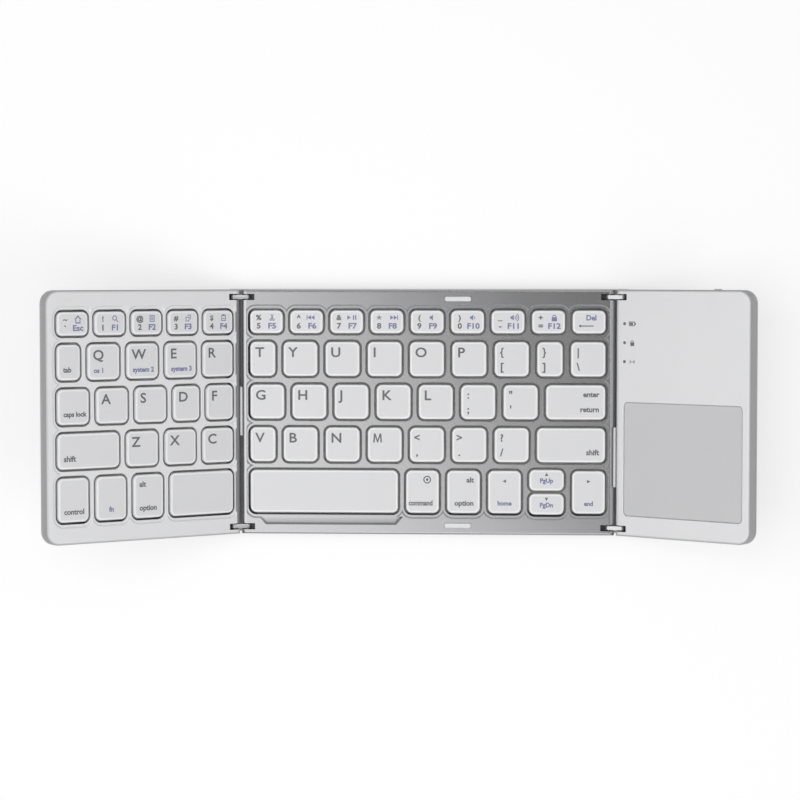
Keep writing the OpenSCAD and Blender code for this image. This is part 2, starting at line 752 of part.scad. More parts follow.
// The cable between two panels in its soft sleeve, which fills the gap
module cable_sleeve(side, tilt, y, len) {
    fin = knuckle_r - 0.2;
    tongue = panel_gap + 2.4;
    color([0.8, 0.8, 0.81]) at_link(side, tilt) translate([side * pivot_span / 2, y, 0]) {
        cube([sleeve_t, len, 2 * fin], center = true);
        cube([tongue, len - 3.6, 0.2], center = true);
    }
}
module left_cable_sleeve() cable_sleeve(-1, tilt_left, left_sleeve_y, left_sleeve_len);
module right_cable_sleeve() cable_sleeve(1, tilt_right, right_sleeve_y, right_sleeve_len);

mid_top_cover();
mid_bottom_shell();
mid_key_plate();
mid_membrane();
mid_domes();
at_mid() feet(mid_feet_x);  // mid_feet
mid_magnets();
color("silver") at_mid() screws(mid_bosses);  // mid_screws
rim_bumpers();
mid_hinge_pins();
left_top_cover();
left_bottom_shell();
left_key_plate();
left_membrane();
left_domes();
at_left() feet(left_feet_x);  // left_feet
color("silver") at_left() screws(left_bosses);  // left_screws
color("gray") at_left() hinge_pins(0, -1);  // left_hinge_pins
right_top_cover();
right_bottom_shell();
touchpad();
touchpad_board();
battery();
main_board();
charging_port();
indicator_lights();
power_button();
right_latch_plates();
at_right() feet(right_feet_x);  // right_feet
color("silver") at_right() screws(right_bosses);  // right_screws
color("gray") at_right() hinge_pins(0, 1);  // right_hinge_pins
links(-1, tilt_left);  // left_hinge_links
links(1, tilt_right);  // right_hinge_links
left_cable_sleeve();
right_cable_sleeve();
left_caps(0, 0, 4);  // left_number_keys
left_caps(1, 0, 0);  // key_tab
left_caps(1, 1, 4);  // left_upper_keys
left_caps(2, 0, 0);  // key_caps
left_caps(2, 1, 4);  // left_home_keys
left_caps(3, 0, 0);  // key_left_shift
left_caps(3, 1, 3);  // left_lower_keys
left_caps(4, 0, 0);  // key_control
left_caps(4, 1, 1);  // key_fn
left_caps(4, 2, 2);  // key_left_alt
left_caps(4, 3, 3);  // key_left_space
mid_caps(0, 0, 8);  // mid_number_keys
mid_caps(1, 0, 7);  // mid_upper_keys
mid_caps(1, 8, 8);  // key_backslash
mid_caps(2, 0, 6);  // mid_home_keys
mid_caps(2, 7, 7);  // key_enter
mid_caps(3, 0, 6);  // mid_lower_keys
mid_caps(3, 7, 7);  // key_right_shift
mid_caps(4, 0, 0);  // key_space
mid_caps(4, 1, 1);  // key_command
mid_caps(4, 2, 2);  // key_right_alt
mid_caps(4, 3, 3);  // key_left_arrow
mid_caps(4, 4, 4);  // key_up
mid_caps(4, 5, 5);  // key_down
mid_caps(4, 6, 6);  // key_right_arrow
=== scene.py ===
"""Folding keyboard with a touchpad: detailed surfaces, finishes, lights and camera.

The CAD frame gives the bodies, the joints and the inner pieces. This script
replaces the outer pieces by finer surfaces, prints the key legends and gives
every piece its finish. Lengths are in millimetres until a mesh is finished.
"""

import logging
import math
from dataclasses import dataclass, field
from enum import Enum

import bmesh
import bpy
import numpy as np
from mathutils import Matrix, Vector
from mathutils.geometry import delaunay_2d_cdt


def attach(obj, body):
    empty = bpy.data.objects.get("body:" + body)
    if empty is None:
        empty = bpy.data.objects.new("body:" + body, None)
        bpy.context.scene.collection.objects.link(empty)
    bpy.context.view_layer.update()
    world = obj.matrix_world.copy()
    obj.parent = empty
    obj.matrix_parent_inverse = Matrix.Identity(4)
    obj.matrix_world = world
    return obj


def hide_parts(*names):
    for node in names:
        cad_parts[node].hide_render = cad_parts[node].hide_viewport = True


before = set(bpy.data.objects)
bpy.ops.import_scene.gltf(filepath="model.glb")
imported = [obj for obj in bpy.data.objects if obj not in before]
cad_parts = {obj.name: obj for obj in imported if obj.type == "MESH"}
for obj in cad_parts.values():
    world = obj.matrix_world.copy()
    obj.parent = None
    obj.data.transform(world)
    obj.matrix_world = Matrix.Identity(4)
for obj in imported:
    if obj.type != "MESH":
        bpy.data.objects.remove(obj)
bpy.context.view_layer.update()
LOG = logging.getLogger("keyboard")
MM = 0.001
ARC = 9
FAR = 1000.0
UPRIGHT = Matrix.Rotation(math.radians(90), 4, "X")


class Side(Enum):
    """Where a panel sits: its value is the sign of its outward direction."""

    LEFT = -1
    MIDDLE = 0
    RIGHT = 1


class Ink(Enum):
    """Colours that legends are printed in."""

    DARK = "dark"
    BLUE = "blue"


class Align(Enum):
    """How a legend lies about its place. MIDDLE puts it on the key's middle line."""

    LEFT = "LEFT"
    CENTER = "CENTER"
    RIGHT = "RIGHT"
    MIDDLE = "MIDDLE"


@dataclass(frozen=True)
class Sizes:
    """Main sizes of the keyboard, in millimetres and degrees.

    They follow the CAD source, and print_lift is added here.

    Args:
        depth: depth of all three panels.
        mid_w: width of the middle panel.
        left_w: width of the left wing.
        seam: gap between the folded wings.
        thick: thickness of a panel.
        foot: height of the feet.
        corner: radius of the free corners, seen from above.
        hinge_corner: radius of the corners at a hinge.
        edge: rounding of the free upper edges and the lower hinge edges.
        belly: rounding of the free lower edges.
        wall: thickness of the walls.
        floor: thickness of the bottom shells.
        shell: height of the parting line.
        cover: depth of a top cover's underside below its rim.
        boss_in: distance of the screws from the front and back edges.
        boss_end: distance of the screws from a panel's ends.
        boss_seam: distance of the middle screws from the folded wings' seam.
        boss_r: radius of the screw bosses.
        tilt_left: how far the left wing is raised at rest.
        tilt_right: how far the right wing is raised at rest.
        gap: gap between panels that lie flat.
        knuckle: rounding of the upper hinge edges, about the pivots.
        link_in: distance of the links from the front and back edges.
        button_out: how far the power button stands out.
        web_drop: depth of the web below the rim.
        key_drop: depth of the key tops below the rim.
        cap_h: height of a keycap.
        skirt: how far a keycap's foot stands out.
        play: gap between that foot and its opening.
        key_r: corner radius of a key top.
        print_lift: how far printing stands above what it is on.
    """

    depth: float = 98.0
    mid_w: float = 149.2
    left_w: float = 86.3
    seam: float = 1.2
    thick: float = 7.2
    foot: float = 0.4
    corner: float = 5.2
    hinge_corner: float = 0.4
    edge: float = 1.0
    belly: float = 2.5
    wall: float = 1.2
    floor: float = 1.0
    shell: float = 2.9
    cover: float = 1.7
    boss_in: float = 4.6
    boss_end: float = 12.0
    boss_seam: float = 20.0
    boss_r: float = 1.6
    tilt_left: float = 37.5
    tilt_right: float = 34.5
    gap: float = 1.0
    knuckle: float = 2.15
    link_in: float = 3.0
    button_out: float = 0.4
    web_drop: float = 0.7
    key_drop: float = 0.3
    cap_h: float = 2.0
    skirt: float = 0.1
    play: float = 0.85
    key_r: float = 2.2
    print_lift: float = 0.012

    @property
    def right_w(self) -> float:
        """Width of the right wing."""
        return self.mid_w - self.left_w - self.seam

    @property
    def seam_x(self) -> float:
        """Middle of the folded wings' seam, in the middle panel's frame."""
        return -self.mid_w / 2 + self.left_w + self.seam / 2

    @property
    def under(self) -> float:
        """Height of a top cover's underside."""
        return self.thick - self.cover

    @property
    def web(self) -> float:
        """Height of the web between the keys."""
        return self.thick - self.web_drop

    @property
    def pivot_z(self) -> float:
        """Height of the hinge pivots above a panel's bottom."""
        return self.thick - self.knuckle

    @property
    def span(self) -> float:
        """Distance between the two pivots of a hinge."""
        return self.gap + 2 * self.knuckle

    @property
    def mid_x(self) -> float:
        """Place of the middle panel's middle in the row frame."""
        return (self.reach(self.left_w, self.tilt_left) - self.reach(self.right_w, self.tilt_right)) / 2

    def reach(self, width: float, tilt: float) -> float:
        """Distance from the middle of the middle panel to a wing's far edge.

        Args:
            width: the wing's width.
            tilt: how far the wing is raised, in degrees.

        Returns:
            The distance along x.
        """
        t = math.radians(tilt)
        return (
            self.mid_w / 2 - self.knuckle + self.span * math.cos(t / 2)
            + (width - self.knuckle - self.belly) * math.cos(t)
            + (self.pivot_z - self.belly) * math.sin(t) + self.belly
        )


S = Sizes()
HALF = S.depth / 2


@dataclass(frozen=True)
class Fittings:
    """Places and sizes of the right wing's fittings and the rim bumpers.

    Args:
        pad_x0: left edge of the touchpad.
        pad_front: distance of the touchpad from the front edge.
        pad_w: its width.
        pad_h: its depth.
        pad_r: its corner radius.
        pad_thick: its thickness.
        pad_drop: how far it lies below the rim.
        lamp_x: middle of the lamps.
        lamp_in: distance of the first lamp from the back edge.
        lamp_step: distance between lamps.
        button_x: middle of the power button.
        button_z: its height.
        button: width and height of its face.
        button_flange: the same of its flange, inside the wall.
        button_hole: the same of its hole.
        port_x: middle of the charging port.
        port_z: its height.
        port_hole: width and height of its mouth.
        bumper_y: distance of the bumpers from the middle line.
        bumper: length and width of a bumper.
        bumper_play: gap round it.
        bumper_deep: depth of its bed.
    """

    pad_x0: float = 4.4
    pad_front: float = 8.45
    pad_w: float = 53.6
    pad_h: float = 44.8
    pad_r: float = 1.6
    pad_thick: float = 0.8
    pad_drop: float = 0.3
    lamp_x: float = 4.6
    lamp_in: float = 13.5
    lamp_step: float = 7.5
    button_x: float = 45.0
    button_z: float = 3.4
    button: tuple = (3.2, 1.8)
    button_flange: tuple = (4.6, 2.2)
    button_hole: tuple = (3.8, 2.4)
    port_x: float = 31.6
    port_z: float = 3.73
    port_hole: tuple = (9.24, 3.56)
    bumper_y: float = 45.25
    bumper: tuple = (10.4, 1.9)
    bumper_play: float = 0.05
    bumper_deep: float = 0.4

    @property
    def pad(self) -> tuple:
        """Middle and size of the touchpad: x, y, width and depth."""
        return self.pad_x0 + self.pad_w / 2, -HALF + self.pad_front + self.pad_h / 2, self.pad_w, self.pad_h

    @property
    def pad_top(self) -> float:
        """Height of the touchpad's face."""
        return S.thick - self.pad_drop

    @property
    def pad_bed(self) -> float:
        """Height of the ledge that the touchpad lies on."""
        return self.pad_top - self.pad_thick

    def lamp_y(self, i: int) -> float:
        """Place of a lamp along y, counted from the back."""
        return HALF - self.lamp_in - self.lamp_step * i


FIT = Fittings()


@dataclass(frozen=True)
class Panel:
    """One of the three panels and its place at rest.

    Args:
        name: prefix of the panel's CAD nodes.
        side: where the panel sits.
        x0: left end in the panel's own frame.
        x1: right end in the panel's own frame.
        body: CAD body that the panel's pieces ride on.
    """

    name: str
    side: Side
    x0: float
    x1: float
    body: str

    @property
    def hinge0(self) -> bool:
        """Whether the end at x0 is a hinge edge."""
        return self.side is not Side.LEFT

    @property
    def hinge1(self) -> bool:
        """Whether the end at x1 is a hinge edge."""
        return self.side is not Side.RIGHT

    def half_turn(self) -> Matrix:
        """Turn of this wing's links, which is half of the wing's own."""
        tilt = S.tilt_left if self.side is Side.LEFT else S.tilt_right
        return Matrix.Rotation(math.radians(-self.side.value * tilt / 2), 4, "Y")

    def link_place(self) -> Matrix:
        """Matrix from the frame of this wing's hinge links to the row frame, both in millimetres."""
        pivot = Matrix.Translation((self.side.value * (S.mid_w / 2 - S.knuckle), 0, S.pivot_z))
        return Matrix.Translation((S.mid_x, -S.button_out / 2, S.foot)) @ pivot @ self.half_turn()

    def link_matrix(self) -> Matrix:
        """Matrix from the links' frame in millimetres to the row frame in metres."""
        return Matrix.Scale(MM, 4) @ self.link_place()

    def matrix(self) -> Matrix:
        """Matrix from the panel's frame in millimetres to the row frame in metres."""
        s, place = self.side.value, Matrix.Translation((S.mid_x, -S.button_out / 2, S.foot))
        if self.side is not Side.MIDDLE:
            place = (
                self.link_place() @ Matrix.Translation((s * S.span, 0, 0)) @ self.half_turn()
                @ Matrix.Translation((-s * S.knuckle, 0, -S.pivot_z))
            )
        return Matrix.Scale(MM, 4) @ place


LEFT = Panel("left", Side.LEFT, -S.left_w, 0.0, "left_wing")
MID = Panel("mid", Side.MIDDLE, -S.mid_w / 2, S.mid_w / 2, "mid_panel")
RIGHT = Panel("right", Side.RIGHT, 0.0, S.right_w, "right_wing")


@dataclass(frozen=True)
class Key:
    """A key top in its panel's frame.

    Args:
        x: its middle along x.
        y: its middle along y.
        w: its width.
        h: its depth.
    """

    x: float
    y: float
    w: float
    h: float


@dataclass(frozen=True)
class Layout:
    """Rows of keys, with column borders in units of a letter key's pitch.

    Args:
        gap: gap between the keys of a row.
        number_gap: the same in the number row.
        row_gap: gap between rows.
        back: distance of the number row from the back edge.
        hinge: distance of the keys from a hinge edge.
        outer: distance of the keys from the left wing's outer edge.
        heights: depth of the key tops of each row.
        arrow_gap: gap between up and down.
        arrow_over: how far up and down reach beyond their row.
        left: column borders of the left wing's rows.
        middle: column borders of the middle panel's rows.
    """

    gap: float = 3.4
    number_gap: float = 3.1
    row_gap: float = 3.55
    back: float = 8.4
    hinge: float = 3.75
    outer: float = 5.0
    heights: tuple = (9.0, 13.58, 13.58, 13.58, 16.9)
    arrow_gap: float = 1.4
    arrow_over: float = 0.45
    left: tuple = (
        (0, 0.9526, 1.9052, 2.8578, 3.8104, 4.763),
        (0, 0.77, 1.77, 2.77, 3.77, 4.763),
        (0, 0.985, 1.98, 2.98, 3.86, 4.763),
        (0, 1.755, 2.76, 3.76, 4.763),
        (0, 0.965, 1.925, 2.89, 4.763),
    )
    middle: tuple = (
        tuple(i * 8.59 / 9 for i in range(10)),
        (0, 0.79, 1.79, 2.79, 3.79, 4.79, 5.79, 6.79, 7.585, 8.59),
        (0, 1, 2, 3, 4, 5, 6, 7, 8.59),
        (0, 0.79, 1.79, 2.79, 3.79, 4.79, 5.79, 6.79, 8.59),
        (0, 3.7, 4.67, 5.64, 6.61, 7.62, 8.59),
    )

    def rows(self, panel: Panel) -> list:
        """Keys of a panel, row by row from the back.

        Args:
            panel: the left or the middle panel.

        Returns:
            A list of rows, each a list of Key. Up and down stand one above
            the other in the middle panel's last row.
        """
        left = panel is LEFT
        x0 = panel.x0 + (self.outer if left else self.hinge)
        width = (S.left_w - self.hinge - self.outer) if left else (S.mid_w - 2 * self.hinge)
        top, rows = HALF - self.back, []
        for r, units in enumerate(self.left if left else self.middle):
            gap = self.number_gap if r == 0 else self.gap
            pitch = (width + gap) / units[-1]
            a = np.round((x0 + np.array(units[:-1]) * pitch) * 50) / 50
            b = np.round((x0 + np.array(units[1:]) * pitch - gap) * 50) / 50
            h = self.heights[r]
            rows.append([Key((p + q) / 2, top - h / 2, q - p, h) for p, q in zip(a, b)])
            top -= h + self.row_gap
        if not left:
            k = rows[4][4]
            h = (k.h + 2 * self.arrow_over - self.arrow_gap) / 2
            off = (self.arrow_gap + h) / 2
            rows[4][4:5] = [Key(k.x, k.y + off, k.w, h), Key(k.x, k.y - off, k.w, h)]
        return rows


LAYOUT = Layout()


def bays(t0: np.ndarray, t1: np.ndarray, edge: np.ndarray, r: float, delta: float) -> np.ndarray:
    """Points along one side of a field of round-cornered cells.

    Cell i runs from t0[i] to t1[i] along the side and reaches edge[i]
    outwards. Its corners are arcs of radius R = r + delta about
    (t0 + r, edge - r) and (t1 - r, edge - r). An arc between two cells
    starts on their middle line m, where cos(a) = |m - centre| / R. An arc at
    the end of the side starts at 45 degrees.

    Args:
        t0: start of each cell along the side.
        t1: end of each cell along the side.
        edge: outward reach of each cell.
        r: corner radius.
        delta: how far the outline is grown.

    Returns:
        An array of (along, outward) points, 2 * ARC - 1 for each cell.
    """
    radius, c0, c1 = r + delta, t0 + r, t1 - r
    middle = (t1[:-1] + t0[1:]) / 2
    start, stop = np.full(len(t0), math.pi / 4), np.full(len(t0), math.pi / 4)
    start[1:] = np.arccos(np.clip((c0[1:] - middle) / radius, -1, 1))
    stop[:-1] = np.arccos(np.clip((middle - c1[:-1]) / radius, -1, 1))
    u = np.linspace(0, 1, ARC)
    a = start[:, None] + (math.pi / 2 - start[:, None]) * u[1:]
    b = stop[:, None] + (math.pi / 2 - stop[:, None]) * u[::-1]
    base = (edge - r)[:, None]
    first = np.stack([c0[:, None] - radius * np.cos(a), base + radius * np.sin(a)], -1)
    second = np.stack([c1[:, None] + radius * np.cos(b), base + radius * np.sin(b)], -1)
    return np.concatenate([first, second], axis=1).reshape(-1, 2)


def field_loop(rows: list, gx: float, gy: float, r: float, delta: float = 0.0,
               low: float = -FAR, high: float = FAR) -> np.ndarray:
    """Outline round rows of keys, scalloped between neighbours, anticlockwise.

    Args:
        rows: rows of Key from the back to the front.
        gx: growth of each key along x.
        gy: growth of each key along y.
        r: corner radius of a grown key.
        delta: further growth of the outline, with the same number of points.
        low: least x of the outline.
        high: greatest x of the outline.

    Returns:
        An (n, 2) array.
    """
    def span(keys: list) -> tuple:
        """Left, right, front and back of grown keys, as arrays."""
        k = np.array([(q.x - q.w / 2, q.x + q.w / 2, q.y - q.h / 2, q.y + q.h / 2) for q in keys])
        return k[:, 0] - gx, k[:, 1] + gx, k[:, 2] - gy, k[:, 3] + gy

    x0, x1, y0, y1 = span(rows[-1])
    front = bays(x0, x1, -y0, r, delta) * (1, -1)
    x0, x1, y0, y1 = span([row[-1] for row in rows[::-1]])
    right = bays(y0, y1, x1, r, delta)[:, ::-1]
    x0, x1, y0, y1 = span(rows[0][::-1])
    back = bays(-x1, -x0, y1, r, delta) * (-1, 1)
    x0, x1, y0, y1 = span([row[0] for row in rows])
    left = bays(-y1, -y0, -x0, r, delta)[:, ::-1] * (-1, -1)
    loop = np.concatenate([front, right, back, left])
    loop[:, 0] = np.clip(loop[:, 0], low, high)
    return loop


def box_loop(x: float, y: float, w: float, h: float, r: float, delta: float = 0.0) -> np.ndarray:
    """Round-cornered rectangle about (x, y), grown by delta, anticlockwise."""
    return field_loop([[Key(x, y, w, h)]], 0, 0, r, delta)


def circle_loop(x: float, y: float, r: float, count: int = 32) -> np.ndarray:
    """Circle about (x, y): (x + r cos a, y + r sin a)."""
    a = np.linspace(0, 2 * math.pi, count, endpoint=False)
    return np.stack([x + r * np.cos(a), y + r * np.sin(a)], -1)


def lift(loop: np.ndarray, z: float) -> np.ndarray:
    """An (n, 2) loop as an (n, 3) ring at height z."""
    return np.column_stack([loop, np.broadcast_to(z, len(loop))])


def edge_ring(p: Panel, turn: float, z: float, up: bool, inset: float = 0.0,
              shell: float = 0.0) -> np.ndarray:
    """Ring on the rounded edge of a panel.

    On a side with edge radius q the ring lies q (1 - cos turn) inwards and
    q (1 - sin turn) short of height z. Each corner is an arc along which the
    height goes from one side's to the next's. The free ends stay a hair
    inside their nominal place.

    Args:
        p: the panel.
        turn: angle along the rounding, 0 on the wall and 90 degrees on the face.
        z: height of the face that the rounding leads to.
        up: whether the face looks up. Hinge edges are rounder there, and the
            other edges are rounder underneath.
        inset: further inset of the whole ring.
        shell: distance inside the outer surface, for a parallel inner surface.

    Returns:
        A (4 * ARC, 3) array, anticlockwise from the front right corner.
    """
    hair, least_r = 0.01, 0.12
    free, hinge = (S.edge, S.knuckle) if up else (S.belly, S.edge)
    q = np.array([free, hinge if p.hinge1 else free, free, hinge if p.hinge0 else free])
    q = np.maximum(q - shell, 0.0)
    ends = np.array([0.0, 0.0 if p.hinge1 else hair, 0.0, 0.0 if p.hinge0 else hair])
    inward = q * (1 - math.cos(turn)) + inset + shell + ends
    short = q * (1 - math.sin(turn)) * (-1 if up else 1) + z
    x = np.array([p.x1 - inward[1], p.x1 - inward[1], p.x0 + inward[3], p.x0 + inward[3]])
    y = np.array([-HALF + inward[0], HALF - inward[2], HALF - inward[2], -HALF + inward[0]])
    right, left = (S.hinge_corner if hinged else S.corner for hinged in (p.hinge1, p.hinge0))
    base = np.array([right, right, left, left])
    r = np.maximum(base - (inward + np.roll(inward, -1)) / 2, least_r)
    sx, sy = np.array([1, 1, -1, -1]), np.array([-1, 1, 1, -1])
    a = np.radians(np.array([-90, 0, 90, 180]))[:, None] + np.linspace(0, math.pi / 2, ARC)
    px = (x - sx * r)[:, None] + r[:, None] * np.cos(a)
    py = (y - sy * r)[:, None] + r[:, None] * np.sin(a)
    u = np.linspace(0, 1, ARC)
    pz = short[:, None] * (1 - u) + np.roll(short, -1)[:, None] * u
    return np.stack([px, py, pz], -1).reshape(-1, 3)


def cavity_loop(p: Panel, inset: float, block_x: float = 6.7, block_y: float = 7.0) -> np.ndarray:
    """Inner outline of a panel's walls, notched round the hinge blocks.

    Args:
        p: the panel.
        inset: thickness of the walls.
        block_x: reach of the hinge blocks along x.
        block_y: reach of the hinge blocks along y.

    Returns:
        An (n, 2) array, anticlockwise from the front right corner.
    """
    yb, yw = HALF - block_y, HALF - inset
    r = S.corner - inset

    def corner(sx: int, sy: int, hinge: bool, start: float) -> np.ndarray:
        """One corner of the outline.

        Args:
            sx: sign of its side along x.
            sy: sign of its side along y.
            hinge: whether a hinge block stands there.
            start: first angle of its quarter turn otherwise, in degrees.

        Returns:
            The corners of the notch, or the points of the arc.
        """
        end = p.x1 if sx > 0 else p.x0
        wall = end - sx * inset
        if hinge:
            step = end - sx * block_x
            notch = np.array([(wall, sy * yb), (step, sy * yb), (step, sy * yw)])
            return notch if sx * sy > 0 else notch[::-1]
        a = np.radians(start) + np.linspace(0, math.pi / 2, ARC)
        return np.stack([wall - sx * r + r * np.cos(a), sy * (yw - r) + r * np.sin(a)], -1)

    return np.concatenate([
        corner(1, -1, p.hinge1, -90), corner(1, 1, p.hinge1, 0),
        corner(-1, 1, p.hinge0, 90), corner(-1, -1, p.hinge0, 180),
    ])


@dataclass
class Shape:
    """A mesh gathered from strips of rings, flat fills and caps.

    Args:
        points: arrays of points, in the order of the faces' indices.
        faces: a list of indices for each face.
        smooth: whether each face is smooth.
        masks: the painted-light mask of each array of points: painted shade on the covers' walls, a painted
            highlight on the keycaps' borders.
        size: number of points so far.
    """

    points: list = field(default_factory=list)
    faces: list = field(default_factory=list)
    smooth: list = field(default_factory=list)
    masks: list = field(default_factory=list)
    size: int = 0

    def add(self, points: np.ndarray, mask: float = 0.0) -> int:
        """Append points.

        Args:
            points: an (n, 3) array.
            mask: their painted-light mask, one value or one for each.

        Returns:
            The index of the first.
        """
        self.points.append(np.asarray(points, float))
        self.masks.append(np.broadcast_to(mask, len(points)))
        start, self.size = self.size, self.size + len(points)
        return start

    def strip(self, rings: list, mask: list = (), smooth: bool = True) -> "Shape":
        """Quads between successive closed rings of equal length.

        Anticlockwise rings that rise face outwards; rings that go down face
        inwards.

        Args:
            rings: (n, 3) arrays.
            mask: value of the mask on each ring, 0 if left out.
            smooth: whether the quads are smooth.

        Returns:
            This shape.
        """
        n = len(rings[0])
        values = np.repeat(mask if len(mask) else np.zeros(len(rings)), n)
        start = self.add(np.concatenate(rings), values)
        i = np.arange(n)
        j = (i + 1) % n
        row = np.arange(len(rings) - 1)[:, None] * n + start
        quads = np.stack([row + i, row + j, row + n + j, row + n + i], -1).reshape(-1, 4)
        self.faces += quads.tolist()
        self.smooth += [smooth] * len(quads)
        return self

    def fill(self, loops: list, up: bool) -> "Shape":
        """Flat face between an outer loop and its holes.

        A Delaunay triangulation keeps every edge of the loops. A triangle
        stays where a ray from its middle crosses the loops an odd number of
        times.

        Args:
            loops: the outer loop and its holes, (n, 3) arrays of one height.
            up: whether the face looks up.

        Returns:
            This shape.
        """
        ends = np.cumsum([len(ring) for ring in loops])
        points, edges = np.concatenate(loops), []
        for a, b in zip(ends - [len(ring) for ring in loops], ends):
            edges += [(i, i + 1) for i in range(a, b - 1)] + [(b - 1, a)]
        made = delaunay_2d_cdt([Vector(p) for p in points[:, :2].tolist()], edges, [], 1, 1e-7)
        flat, tris = np.array(made[0]), np.array(made[2])
        p, q = (points[np.array(edges)[:, k], :2] for k in range(2))
        x, y = flat[tris].mean(axis=1).T
        spans = (p[:, 1] > y[:, None]) != (q[:, 1] > y[:, None])
        rise = np.where(q[:, 1] == p[:, 1], 1.0, q[:, 1] - p[:, 1])
        at = p[:, 0] + (y[:, None] - p[:, 1]) / rise * (q[:, 0] - p[:, 0])
        tris = tris[(spans & (at > x[:, None])).sum(axis=1) % 2 == 1]
        a, b, c = (flat[tris[:, k]] for k in range(3))
        area = (b[:, 0] - a[:, 0]) * (c[:, 1] - a[:, 1]) - (b[:, 1] - a[:, 1]) * (c[:, 0] - a[:, 0])
        wrong = (area < 0) == up
        tris[wrong] = tris[wrong][:, ::-1]
        start = self.add(lift(flat, points[0, 2]))
        self.faces += (tris + start).tolist()
        self.smooth += [False] * len(tris)
        return self

    def cap(self, ring: np.ndarray, up: bool, mask: float = 0.0) -> "Shape":
        """One flat face over an anticlockwise ring.

        Args:
            ring: an (n, 3) array.
            up: whether the face looks up.
            mask: value of the mask on the ring.

        Returns:
            This shape.
        """
        start = self.add(ring, mask)
        face = np.arange(len(ring)) + start
        self.faces.append((face if up else face[::-1]).tolist())
        self.smooth.append(False)
        return self

    def solid(self, rings: list, mask: list = ()) -> "Shape":
        """Closed body over rising rings.

        Args:
            rings: (n, 3) arrays from the bottom to the top.
            mask: value of the mask on each ring, 0 if left out.

        Returns:
            This shape.
        """
        self.cap(rings[0], False)
        self.strip(rings, mask)
        return self.cap(rings[-1], True, mask[-1] if len(mask) else 0.0)

    def merge(self, other: "Shape", matrix: Matrix = None) -> "Shape":
        """Append another shape.

        Args:
            other: the shape to append.
            matrix: what moves it, if anything.

        Returns:
            This shape.
        """
        start = self.size
        points = np.concatenate(other.points)
        if matrix is not None:
            m = np.array(matrix)
            points = points @ m[:3, :3].T + m[:3, 3]
        self.add(points, np.concatenate(other.masks))
        self.faces += [[v + start for v in f] for f in other.faces]
        self.smooth += other.smooth
        return self

    def mesh(self, name: str) -> bpy.types.Mesh:
        """The shape as a mesh, with doubled points merged.

        Args:
            name: name of the mesh.

        Returns:
            The mesh.
        """
        mesh = bpy.data.meshes.new(name)
        mesh.from_pydata(np.concatenate(self.points).tolist(), [], self.faces)
        mesh.polygons.foreach_set("use_smooth", self.smooth)
        # Point attribute of the painted-light mask, which places painted shade and painted highlights.
        layer = mesh.attributes.new("painted_light", "FLOAT", "POINT")
        layer.data.foreach_set("value", np.concatenate(self.masks).astype(np.float32))
        weld(mesh, 1e-4)
        return mesh


def weld(mesh: bpy.types.Mesh, distance: float) -> None:
    """Merge points closer than a distance and drop what collapses.

    Args:
        mesh: the mesh, changed in place.
        distance: the distance in the mesh's own units.
    """
    work = bmesh.new()
    work.from_mesh(mesh)
    bmesh.ops.remove_doubles(work, verts=work.verts, dist=distance)
    bmesh.ops.dissolve_degenerate(work, edges=work.edges, dist=distance)
    work.to_mesh(mesh)
    work.free()


def join(meshes: list, name: str) -> bpy.types.Mesh:
    """One mesh from several.

    Args:
        meshes: the meshes, of which the first gives the materials.
        name: name of the new mesh.

    Returns:
        The new mesh.
    """
    work = bmesh.new()
    for mesh in meshes:
        work.from_mesh(mesh)
    joined = bpy.data.meshes.new(name)
    work.to_mesh(joined)
    work.free()
    for mat in meshes[0].materials:
        joined.materials.append(mat)
    return joined


def carve(mesh: bpy.types.Mesh, cutter: Shape, outer: "Finish", cut_face: "Finish") -> bpy.types.Mesh:
    """The mesh without the cutter's bodies, which don't overlap each other.

    Args:
        mesh: the mesh to cut, painted with outer if it has no paint yet.
        cutter: what is taken away.
        outer: paint of the mesh.
        cut_face: paint of the faces that the cut makes.

    Returns:
        A new mesh.
    """
    if not mesh.materials:
        mesh.materials.append(outer.material())
    target = bpy.data.objects.new("target", mesh)
    tool = bpy.data.objects.new("tool", cutter.mesh("tool"))
    tool.data.materials.append(cut_face.material())
    bpy.context.scene.collection.objects.link(target)
    bpy.context.scene.collection.objects.link(tool)
    cut = target.modifiers.new("cut", "BOOLEAN")
    cut.operation, cut.solver, cut.object = "DIFFERENCE", "EXACT", tool
    cut.material_mode = "TRANSFER"
    graph = bpy.context.evaluated_depsgraph_get()
    result = bpy.data.meshes.new_from_object(target.evaluated_get(graph))
    bpy.data.objects.remove(target)
    bpy.data.objects.remove(tool)
    LOG.info("carved: %d points", len(result.vertices))
    return result


def place(mesh: bpy.types.Mesh, name: str, matrix: Matrix, finish: "Finish", body: str,
          nodes: tuple = (), slot: str = "") -> bpy.types.Object:
    """Turn a mesh in millimetres into a finished piece of the object.

    Args:
        mesh: the mesh in the frame that matrix starts from.
        name: name of the piece.
        matrix: from that frame to the row frame.
        finish: what the piece is painted with.
        body: CAD body it rides on.
        nodes: CAD nodes it stands for.
        slot: material slot of the record; not used.

    Returns:
        The piece, at the origin, unturned and unscaled.
    """
    mesh.transform(matrix)
    smooth = np.zeros(len(mesh.polygons), dtype=bool)
    mesh.polygons.foreach_get("use_smooth", smooth)
    mesh.set_sharp_from_angle(angle=math.radians(32))
    mesh.polygons.foreach_set("use_smooth", smooth)
    piece = bpy.data.objects.new(name, mesh)
    bpy.context.scene.collection.objects.link(piece)
    if not mesh.materials:
        mesh.materials.append(finish.material())
    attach(piece, body)
    if nodes:
        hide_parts(*nodes)
    LOG.info("%s: %d faces, rides on %s", name, len(mesh.polygons), body)
    return piece


def block(x0: float, x1: float, y0: float, y1: float, z0: float, z1: float) -> Shape:
    """Plain box between two corners."""
    loop = np.array([(x0, y0), (x1, y0), (x1, y1), (x0, y1)])
    return Shape().solid([lift(loop, z0), lift(loop, z1)])


